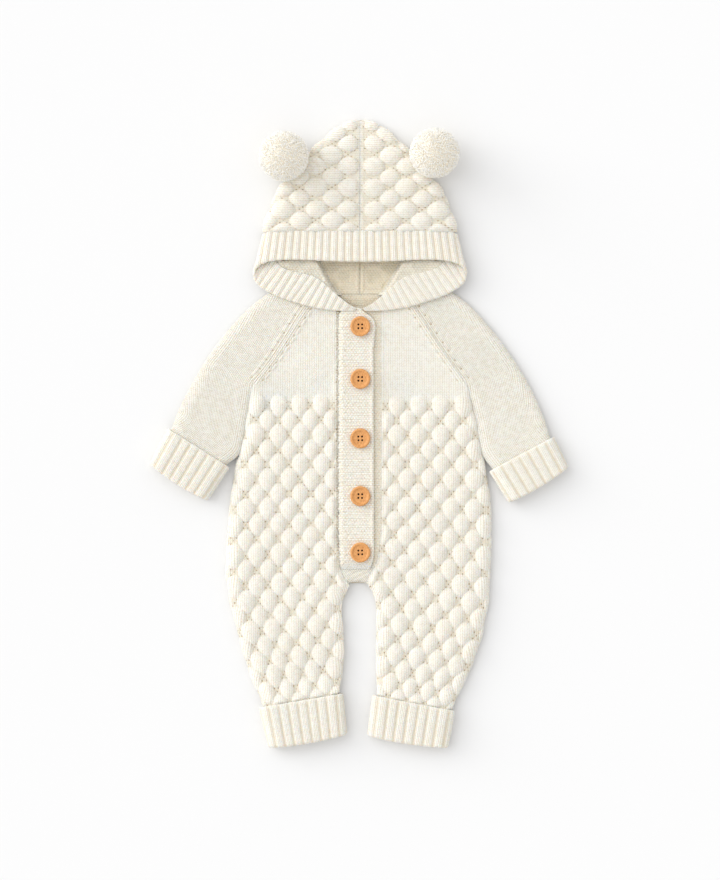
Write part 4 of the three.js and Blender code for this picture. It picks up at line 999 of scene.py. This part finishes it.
def strand_tufts(centre, count, rng):
    """Cut strands of yarn: three-sided, bent, from inside the ball out to its surface.

    Directions follow the golden angle with a little noise; each strand has three rings of
    three points and a cap at its tip.
    """
    n = np.arange(count)
    level = 1 - 2 * (n + 0.5) / count
    around = n * math.pi * (3 - math.sqrt(5))
    ring = np.sqrt(1 - level**2)
    out = np.stack([ring * np.cos(around), ring * np.sin(around), level], 1)
    out = out + rng.normal(0, 0.022, out.shape)
    out /= np.linalg.norm(out, axis=1)[:, None]
    helper = np.where(np.abs(out[:, 2:]) < 0.9, np.array([[0.0, 0, 1]]), np.array([[1.0, 0, 0]]))
    right = np.cross(out, helper)
    right /= np.linalg.norm(right, axis=1)[:, None]
    up = np.cross(out, right)
    tip = POMPOM_RADIUS - np.abs(rng.normal(0, 0.8, count))
    drift = np.sin(11 * out[:, :2] + 4 * np.sin(7 * out[:, 1:]))
    bend = 1.3 * drift + rng.normal(0, 0.5, (count, 2))
    turn = rng.uniform(0, 2 * math.pi, count)
    made = []
    for share, thick in ((0.0, 0.4), (0.62, 0.72), (1.0, 0.5)):
        reach = 20.5 + (tip - 20.5) * share
        middle = out * reach[:, None] + (right * bend[:, :1] + up * bend[:, 1:]) * share**2
        for corner in range(3):
            angle = turn + corner * 2 * math.pi / 3
            made.append(middle + thick * (right * np.cos(angle)[:, None] + up * np.sin(angle)[:, None]))
    points = np.stack(made, 1)
    points[..., 2] = np.maximum(points[..., 2], 0.4 - centre[2])
    local = []
    for ring_start in (0, 3):
        for corner in range(3):
            a, b = ring_start + corner, ring_start + (corner + 1) % 3
            local += [(a, b, b + 3), (a, b + 3, a + 3)]
    local += [(6, 7, 8), (0, 2, 1)]
    faces = (np.array(local)[None] + 9 * n[:, None, None]).reshape(-1, 3)
    # Painted shade along each strand: full at the root, none at the tip, with a little random spread.
    shade = np.repeat([1.0, 0.55, 0.0], 3)[None] + rng.normal(0, 0.06, (count, 1))
    flat = points.reshape(-1, 3) + np.array(centre)
    stitch = np.repeat(rng.uniform(0, 1, (count, 2)), 9, axis=0)
    return patch(flat, faces, stitch, np.clip(shade, 0, 1).ravel())


def core_ball(centre, radius):
    """A ball by latitude and longitude under the strands."""
    polar = np.linspace(0, math.pi, 33)[:, None]
    around = np.linspace(0, 2 * math.pi, 65)[None, :]
    x = radius * np.sin(polar) * np.cos(around)
    y = radius * np.sin(polar) * np.sin(around)
    z = radius * np.cos(polar) + 0 * around
    points = np.stack([x, y, z], -1) + np.array(centre)
    points[:, -1] = points[:, 0]
    points[0], points[-1] = points[0, 0], points[-1, 0]
    stitch = np.stack(np.broadcast_arrays(around, polar), -1)
    # Painted shade over the whole core, which shows between the strands.
    return ring_wall(points, stitch, np.full(points.shape[:2], 0.8))


def tie_cord(centre):
    """The short tie from a pompom down to the hood, a round cord with rounded ends."""
    inward = np.array([-math.copysign(0.83, centre[0]), -0.2, -0.56])
    inward /= np.linalg.norm(inward)
    side = np.cross(inward, [0, 0, 1])
    side /= np.linalg.norm(side)
    up = np.cross(inward, side)
    reach = np.concatenate([[14, 14], np.linspace(14.3, 25.0, 8), [25.4, 25.4]])[:, None, None]
    thick = np.concatenate([[0, 1.4], np.full(8, 1.6), [1.4, 0]])[:, None, None]
    around = np.linspace(0, 2 * math.pi, 13)[None, :, None]
    ring = side * np.cos(around) + up * np.sin(around)
    points = np.array(centre) + inward * reach + thick * ring
    points[:, -1] = points[:, 0]
    stitch = np.stack(np.broadcast_arrays(around[..., 0] * 1.6, reach[..., 0]), -1)
    # Painted shade at half strength over the whole cord.
    return ring_wall(points, stitch, np.full(points.shape[:2], 0.5))


# Finishes ------------------------------------------------------------------


class Finish:
    """A node material in the making. Each step adds a node and gives back its output."""

    def __init__(self, name):
        self.material = bpy.data.materials.new(name)
        self.material.use_nodes = True
        self.tree = self.material.node_tree
        self.tree.nodes.clear()

    def node(self, kind, inputs, **settings):
        made = self.tree.nodes.new(kind)
        for key, value in settings.items():
            setattr(made, key, value)
        for key, value in inputs.items():
            if isinstance(value, bpy.types.NodeSocket):
                self.tree.links.new(value, made.inputs[key])
            else:
                made.inputs[key].default_value = value
        return made

    def math(self, operation, *values):
        node = self.node("ShaderNodeMath", dict(enumerate(values)), operation=operation)
        return node.outputs[0]

    def split(self, vector):
        return self.node("ShaderNodeSeparateXYZ", {0: vector}).outputs

    def map(self, name):
        """The two parts of a UV map."""
        return self.split(self.node("ShaderNodeUVMap", {}, uv_map=name).outputs[0])[:2]

    def place(self):
        """Object coordinates."""
        return self.node("ShaderNodeTexCoord", {}).outputs["Object"]

    def noise(self, vector, scale, detail=2.0):
        inputs = {"Vector": vector, "Scale": scale, "Detail": detail}
        return self.node("ShaderNodeTexNoise", inputs).outputs[0]

    def ramp(self, value, low, high, to_low=0.0, to_high=1.0):
        """A value carried softly from one range to another."""
        inputs = {0: value, 1: low, 2: high, 3: to_low, 4: to_high}
        node = self.node("ShaderNodeMapRange", inputs, interpolation_type="SMOOTHSTEP")
        return node.outputs[0]

    def mix(self, share, first, second):
        node = self.node("ShaderNodeMix", {}, data_type="RGBA")
        for key, value in ((0, share), (6, first), (7, second)):
            if isinstance(value, bpy.types.NodeSocket):
                self.tree.links.new(value, node.inputs[key])
            else:
                node.inputs[key].default_value = value
        return node.outputs[2]

    # The painted shade amount that the meshes carry: up to 1 for recess shade, above 1.15 for shaded holes.
    def recess_shade(self):
        return self.node("ShaderNodeAttribute", {}, attribute_name="recess_shade").outputs["Fac"]

    def stocking(self, across, along, wale, course):
        """Height of stocking stitch, columns of V's.

        In a column the distance from its middle runs 0 to 1. A leg is one less the square
        of twice that distance less one, and its yarn rises as a half sine once a course,
        later by 0.65 of a course at the column's edge.
        """
        turn = self.math("FRACT", self.math("DIVIDE", across, wale))
        out = self.math("ABSOLUTE", self.math("MULTIPLY_ADD", turn, 2.0, -1.0))
        rise = self.math("MULTIPLY_ADD", out, 0.65, self.math("DIVIDE", along, course))
        yarn = self.math("SINE", self.math("MULTIPLY", self.math("FRACT", rise), math.pi))
        bow = self.math("POWER", self.math("MULTIPLY_ADD", out, 2.0, -1.0), 2.0)
        leg = self.math("SUBTRACT", 1.0, bow)
        return self.math("MULTIPLY", leg, self.math("MULTIPLY_ADD", yarn, 0.6, 0.4))

    def purl(self, across, along, wale, course):
        """Height of the purl side: rows of short loops, each row half a loop along."""
        row = self.math("DIVIDE", along, course)
        shift = self.math("MULTIPLY", self.math("FLOOR", row), 0.5)
        turn = self.math("ADD", self.math("DIVIDE", across, wale), shift)
        loop = self.math("ABSOLUTE", self.math("SINE", self.math("MULTIPLY", turn, math.pi)))
        ridge = self.math("SINE", self.math("MULTIPLY", self.math("FRACT", row), math.pi))
        return self.math("MULTIPLY", loop, ridge)

    def gaps(self, first, second, wide, long, few, size):
        """A mask of small gaps along both sets of creases of the bubble stitch, for their painted shade.

        A crease is where one lattice number is half past a whole one; gaps stand along it,
        a few to each bubble, and each is round by the two distances in millimetres.
        """
        found = []
        for crease, run in ((first, second), (second, first)):
            off = self.math("SUBTRACT", self.math("FRACT", crease), 0.5)
            step = self.math("FRACT", self.math("MULTIPLY", run, float(few)))
            step = self.math("SUBTRACT", step, 0.5)
            reach_off = self.math("POWER", self.math("MULTIPLY", off, wide), 2.0)
            reach_run = self.math("POWER", self.math("MULTIPLY", step, long / few), 2.0)
            reach = self.math("SQRT", self.math("ADD", reach_off, reach_run))
            found.append(self.ramp(reach, size * 0.35, size, 1.0, 0.0))
        return self.math("MAXIMUM", *found)

    def cloth(self, shade, height, relief, more=None):
        """The cloth shader: matt, with a soft sheen and the stitches as bump."""
        bump = self.node("ShaderNodeBump", {"Strength": 1.0, "Distance": relief, "Height": height})
        inputs = {
            "Base Color": shade,
            "Roughness": 0.95,
            "Specular IOR Level": 0.15,
            "Subsurface Weight": 0.5,
            "Subsurface Radius": (1.0, 0.8, 0.6),
            "Subsurface Scale": 0.003,
            "Sheen Weight": 0.1,
            "Sheen Roughness": 0.5,
            "Normal": bump.outputs[0],
            **(more or {}),
        }
        return self.finish(self.node("ShaderNodeBsdfPrincipled", inputs))

    def finish(self, shader):
        output = self.node("ShaderNodeOutputMaterial", {})
        self.tree.links.new(shader.outputs[0], output.inputs["Surface"])
        return self.material


def rgba(value):
    """A property's colour as the four numbers that a socket takes."""
    return (*value, 1.0)


def knit_finish(name, pattern, wale=3.6, course=2.6, sideways=False, gaps=None, base="yarn", deep_shade=0.42, grain=0.0, line=1.0):
    """Ivory knit: stitches as painted shade and bump, painted shade in recesses, holes and small gaps, and a little
    random tone.
    """
    made = bpy.data.materials.get(name)
    if made is not None:
        return made
    colours = bpy.context.scene.romper_colours
    f = Finish(name)
    across, along = f.map("stitch")
    if sideways:
        across, along = along, across
    height = getattr(f, pattern)(across, along, wale, course)
    place = f.place()
    fibre = f.noise(place, 1500.0, 3.0)
    broad = f.noise(place, 28.0)
    clumps = f.noise(place, 260.0)
    recess_shade = f.recess_shade()
    shade_tint = rgba(colours.recess_shade)
    # Broad random tone, leaning a little towards the recess shade colour.
    shade = f.mix(f.ramp(broad, 0.3, 0.7, 0.0, 0.08), rgba(getattr(colours, base)), shade_tint)
    # Painted shade in the valleys of each stitch, stronger in random clumps.
    low = f.math("POWER", f.math("SUBTRACT", 1.0, height), 1.5)
    low = f.math("MULTIPLY", low, f.ramp(clumps, 0.3, 0.7, 0.35 * line, 0.8 * line))
    shade = f.mix(low, shade, rgba(colours.groove_shade))
    # Random speckle in the groove shade colour.
    if grain:
        speckle = f.ramp(f.noise(place, 560.0, 2.0), 0.45, 0.62, 0.0, grain)
        shade = f.mix(speckle, shade, rgba(colours.groove_shade))
    # Painted shade in recesses: the recess shade attribute, times the given share, mixes towards the shade tint.
    shade = f.mix(f.math("MULTIPLY", f.ramp(recess_shade, 0.0, 1.0), deep_shade), shade, shade_tint)
    # Painted shade in holes, where the recess shade attribute passes 1.15.
    shade = f.mix(f.ramp(recess_shade, 1.15, 1.8, 0.0, 0.85), shade, rgba(colours.gap))
    relief = f.math("MULTIPLY_ADD", fibre, 0.4, height)
    # Painted shade in small gaps along the creases, which are also dipped in the bump.
    if gaps:
        first, second = f.map("lattice")
        holes = f.gaps(first, second, *gaps)
        holes = f.math("MULTIPLY", holes, f.ramp(recess_shade, 0.2, 0.7))
        holes = f.math("MULTIPLY", holes, f.ramp(clumps, 0.4, 0.56))
        shade = f.mix(f.math("MULTIPLY", holes, 0.8), shade, rgba(colours.gap))
        relief = f.math("MULTIPLY_ADD", holes, -1.2, relief)
    return f.cloth(shade, relief, 0.0004 * line)


def inside_finish():
    """The purl side of the knitting: a darker base that is partly its own tone and partly painted shade, and strong
    painted shade in recesses.
    """
    return knit_finish("Purl side", "purl", wale=3.2, course=2.4, base="inside", deep_shade=0.8)


def yarn_finish():
    """Cut yarn: ivory at its tips with a random tint per strand, painted shade towards the root, and a faint painted
    glow.
    """
    colours = bpy.context.scene.romper_colours
    f = Finish("Pompom yarn")
    tint, _ = f.map("stitch")
    shade = f.mix(f.ramp(tint, 0.0, 1.0, 0.0, 0.16), rgba(colours.tips), rgba(colours.recess_shade))
    # Painted shade towards the root and on the core.
    shade = f.mix(f.math("MULTIPLY", f.recess_shade(), 0.45), shade, rgba(colours.recess_shade))
    # Painted glow: the yarn gives off a little light of its own colour.
    painted_glow = {"Emission Color": shade, "Emission Strength": 0.13}
    return f.cloth(shade, f.noise(f.place(), 1800.0, 3.0), 0.0002, painted_glow)


def wood_finish():
    """Light oiled wood with fine grain lines, and holes painted near black as shade."""
    colours = bpy.context.scene.romper_colours
    f = Finish("Button wood")
    u, v = f.map("stitch")
    line = f.node("ShaderNodeCombineXYZ", {0: f.math("MULTIPLY", u, 1.1), 1: f.math("MULTIPLY", v, 0.16)})
    grain = f.noise(line.outputs[0], 2.2, 5.0)
    pores = f.noise(f.place(), 900.0, 2.0)
    shade = f.mix(f.ramp(grain, 0.42, 0.66), rgba(colours.wood), rgba(colours.wood_grain))
    shade = f.mix(f.ramp(pores, 0.55, 0.75, 0.0, 0.35), shade, rgba(colours.wood_grain))
    # Painted shade: the pits of the holes turn near black.
    shade = f.mix(f.ramp(f.recess_shade(), 0.3, 0.9), shade, (0.012, 0.006, 0.003, 1.0))
    bump = f.node("ShaderNodeBump", {"Strength": 0.4, "Distance": 0.0003, "Height": grain})
    inputs = {
        "Base Color": shade,
        "Roughness": 0.5,
        "Specular IOR Level": 0.35,
        "Normal": bump.outputs[0],
    }
    return f.finish(f.node("ShaderNodeBsdfPrincipled", inputs))


def floor_finish():
    """A matt pale floor with the faintest mottle."""
    colours = bpy.context.scene.romper_colours
    f = Finish("Studio floor")
    mottle = f.noise(f.place(), 3.0)
    shade = f.mix(f.ramp(mottle, 0.3, 0.7, 0.0, 0.04), rgba(colours.floor), (0.9, 0.9, 0.91, 1.0))
    inputs = {"Base Color": shade, "Roughness": 1.0, "Specular IOR Level": 0.0}
    return f.finish(f.node("ShaderNodeBsdfPrincipled", inputs))


# Operators -----------------------------------------------------------------


class ROMPER_OT_stage(Operator):
    """Sets up the camera straight above, the soft light and the pale floor."""

    bl_idname = "romper.stage"
    bl_label = "Stage"

    def execute(self, context):
        camera = bpy.data.cameras.new("camera")
        camera.lens = 200
        camera.sensor_width = 36
        camera.clip_end = 50
        eye = bpy.data.objects.new("camera", camera)
        eye.location = (0, -0.007, 0.88 * 200 / 36 + 0.008)
        context.scene.collection.objects.link(eye)
        context.scene.camera = eye

        mesh = bpy.data.meshes.new("floor")
        reach, low = 8.0, -0.0004
        corners = [(-reach, -reach, low), (reach, -reach, low), (reach, reach, low), (-reach, reach, low)]
        mesh.from_pydata(corners, [], [(0, 1, 2, 3)])
        mesh.materials.append(floor_finish())
        floor = bpy.data.objects.new("floor", mesh)
        context.scene.collection.objects.link(floor)

        lights = (
            ("key", 0.72, 72, (0.85, -0.5, -1.0)),
            ("low", 0.60, 58, (1.55, -0.85, -1.0)),
            ("far", 0.80, 34, (3.4, -1.5, -1.0)),
        )
        for name, energy, angle, direction in lights:
            light = bpy.data.lights.new(name, "SUN")
            light.energy = energy
            light.angle = math.radians(angle)
            lamp = bpy.data.objects.new(name, light)
            lamp.rotation_mode = "QUATERNION"
            lamp.rotation_quaternion = Vector(direction).to_track_quat("-Z", "Y")
            context.scene.collection.objects.link(lamp)

        world = bpy.data.worlds.new("studio")
        world.use_nodes = True
        sky = world.node_tree.nodes["Background"]
        sky.inputs["Color"].default_value = (1.0, 1.0, 1.0, 1.0)
        sky.inputs["Strength"].default_value = 0.82
        context.scene.world = world
        context.scene.view_settings.view_transform = "Standard"
        context.scene.view_settings.look = "None"
        return {"FINISHED"}


class ROMPER_OT_back(Operator):
    """Knits the back panel with the backs of the legs."""

    bl_idname = "romper.back"
    bl_label = "Back"

    def execute(self, context):
        sizes = context.scene.romper_sizes
        finish = knit_finish("Bubble knit", "stocking", gaps=(17.6, 18.3, 5, 0.95))
        halves = [back_half(side, sizes) for side in SIDES]
        piece = make_piece("back_knit", halves, [finish, inside_finish()], ["back"])
        return {"FINISHED"}


class ROMPER_OT_fronts(Operator):
    """Knits the two fronts with their yokes and bubbles."""

    bl_idname = "romper.fronts"
    bl_label = "Fronts"

    def execute(self, context):
        sizes = context.scene.romper_sizes
        finish = knit_finish("Bubble knit", "stocking", gaps=(17.6, 18.3, 5, 0.95))
        for side in SIDES:
            node = f"front_{side['name']}"
            panel = front_panel(side, sizes)
            piece = make_piece(f"{node}_knit", [panel], [finish, inside_finish()], [node])
        return {"FINISHED"}


class ROMPER_OT_sleeves(Operator):
    """Knits the raglan sleeves."""

    bl_idname = "romper.sleeves"
    bl_label = "Sleeves"

    def execute(self, context):
        finish = knit_finish("Plain knit", "stocking", wale=3.4, course=2.4, line=1.3)
        for side in SIDES:
            node = f"sleeve_{side['name']}"
            tube = sleeve_tube(side, context.scene.romper_sizes)
            finishes = [finish, inside_finish()]
            piece = make_piece(f"{node}_knit", [tube], finishes, [node])
        return {"FINISHED"}


class ROMPER_OT_cuffs(Operator):
    """Knits the four turned-back cuffs."""

    bl_idname = "romper.cuffs"
    bl_label = "Cuffs"

    def execute(self, context):
        finish = knit_finish("Ribbed knit", "stocking", wale=RIB_PITCH / 2, course=2.4, deep_shade=0.6)
        for node, (*corners, first) in CUFFS.items():
            is_wrist = node.startswith("wrist")
            sign = -1 if node.endswith("right") else 1
            limb = SLEEVE_HEIGHT if is_wrist else BODY_HEIGHT
            ring = cuff_ring(corners, first, limb, sign, context.scene.romper_sizes)
            piece = make_piece(f"{node}_rib", [ring], [finish], [node])
        return {"FINISHED"}


class ROMPER_OT_hood(Operator):
    """Knits the two halves of the hood, each with its upper and lower layer."""

    bl_idname = "romper.hood"
    bl_label = "Hood"

    def execute(self, context):
        sizes = context.scene.romper_sizes
        outside = knit_finish("Hood knit", "stocking", sideways=True, gaps=(18.3, 19.2, 5, 1.0))
        inside = inside_finish()
        for side in SIDES:
            node = f"hood_{side['name']}"
            layers = [hood_top(side, sizes), hood_under(side, sizes)]
            piece = make_piece(f"{node}_knit", layers, [outside, inside], [node])
        return {"FINISHED"}


class ROMPER_OT_brim(Operator):
    """Knits the ribbed brim round the face opening."""

    bl_idname = "romper.brim"
    bl_label = "Brim"

    def execute(self, context):
        finish = knit_finish("Ribbed knit", "stocking", wale=RIB_PITCH / 2, course=2.4, deep_shade=0.6)
        strip = brim_strip(context.scene.romper_sizes)
        piece = make_piece("hood_brim_rib", [strip], [finish], ["hood_brim"])
        return {"FINISHED"}


class ROMPER_OT_bands(Operator):
    """Knits the buttonhole band, the button band under it and the piece at the crotch."""

    bl_idname = "romper.bands"
    bl_label = "Bands"

    def execute(self, context):
        sizes = context.scene.romper_sizes
        cloth = sizes.cloth / MM
        finish = knit_finish("Garter knit", "purl", wale=3.2, course=2.2, deep_shade=0.5, grain=0.15, line=0.85)
        over = band_strip(OVER_BAND, BODY_HEIGHT + SEAM, cloth, 3.0, sizes)
        piece = make_piece("band_over_knit", [over], [finish], ["band_over"])
        under = band_strip(UNDER_BAND, BODY_HEIGHT - cloth, cloth - 0.5, 0.0, sizes)
        piece = make_piece("band_under_knit", [under], [finish], ["band_under"])
        plain = knit_finish("Plain knit", "stocking", wale=3.4, course=2.4, line=1.3)
        gusset = gusset_wall(sizes)
        piece = make_piece("crotch_gusset_knit", [gusset], [plain], ["crotch_gusset"])
        return {"FINISHED"}


class ROMPER_OT_buttons(Operator):
    """Turns the five wooden buttons."""

    bl_idname = "romper.buttons"
    bl_label = "Buttons"

    def execute(self, context):
        finish = wood_finish()
        floor = BODY_HEIGHT + SEAM + context.scene.romper_sizes.cloth / MM + 2 * SEAM
        for number, y in enumerate(BUTTON_Y, 1):
            disc = button_disc(BUTTON_X, y, floor, 0.06 * math.sin(3.0 * number))
            node = f"button_{number}"
            make_piece(f"{node}_wood", [disc], [finish], [node])
        return {"FINISHED"}


class ROMPER_OT_pompoms(Operator):
    """Ties and trims the two pompoms."""

    bl_idname = "romper.pompoms"
    bl_label = "Pompoms"

    def execute(self, context):
        finish = yarn_finish()
        rng = np.random.default_rng(7)
        for node, centre in POMPOMS.items():
            tufts = strand_tufts(centre, context.scene.romper_sizes.strands, rng)
            parts = [tufts, core_ball(centre, 22.4), tie_cord(centre)]
            make_piece(f"{node}_yarn", parts, [finish], [node])
        return {"FINISHED"}


OPERATORS = (
    ROMPER_OT_stage,
    ROMPER_OT_back,
    ROMPER_OT_fronts,
    ROMPER_OT_sleeves,
    ROMPER_OT_cuffs,
    ROMPER_OT_hood,
    ROMPER_OT_brim,
    ROMPER_OT_bands,
    ROMPER_OT_buttons,
    ROMPER_OT_pompoms,
)


class ROMPER_PT_pieces(Panel):
    """Lists the pieces and their sizes and colours."""

    bl_idname = "ROMPER_PT_pieces"
    bl_label = "Romper"
    bl_space_type = "VIEW_3D"
    bl_region_type = "UI"
    bl_category = "Romper"

    def draw(self, context):
        column = self.layout.column(align=True)
        for operator in OPERATORS:
            column.operator(operator.bl_idname)
        for group in (context.scene.romper_sizes, context.scene.romper_colours):
            box = self.layout.box()
            for key in type(group).__annotations__:
                box.prop(group, key)


CLASSES = (RomperSizes, RomperColours, *OPERATORS, ROMPER_PT_pieces)


def register():
    for cls in CLASSES:
        bpy.utils.register_class(cls)
    bpy.types.Scene.romper_sizes = PointerProperty(type=RomperSizes)
    bpy.types.Scene.romper_colours = PointerProperty(type=RomperColours)


def unregister():
    del bpy.types.Scene.romper_colours
    del bpy.types.Scene.romper_sizes
    for cls in reversed(CLASSES):
        bpy.utils.unregister_class(cls)


def main():
    register()
    for operator in OPERATORS:
        group, name = operator.bl_idname.split(".")
        getattr(getattr(bpy.ops, group), name)()


if __name__ == "__main__":
    main()
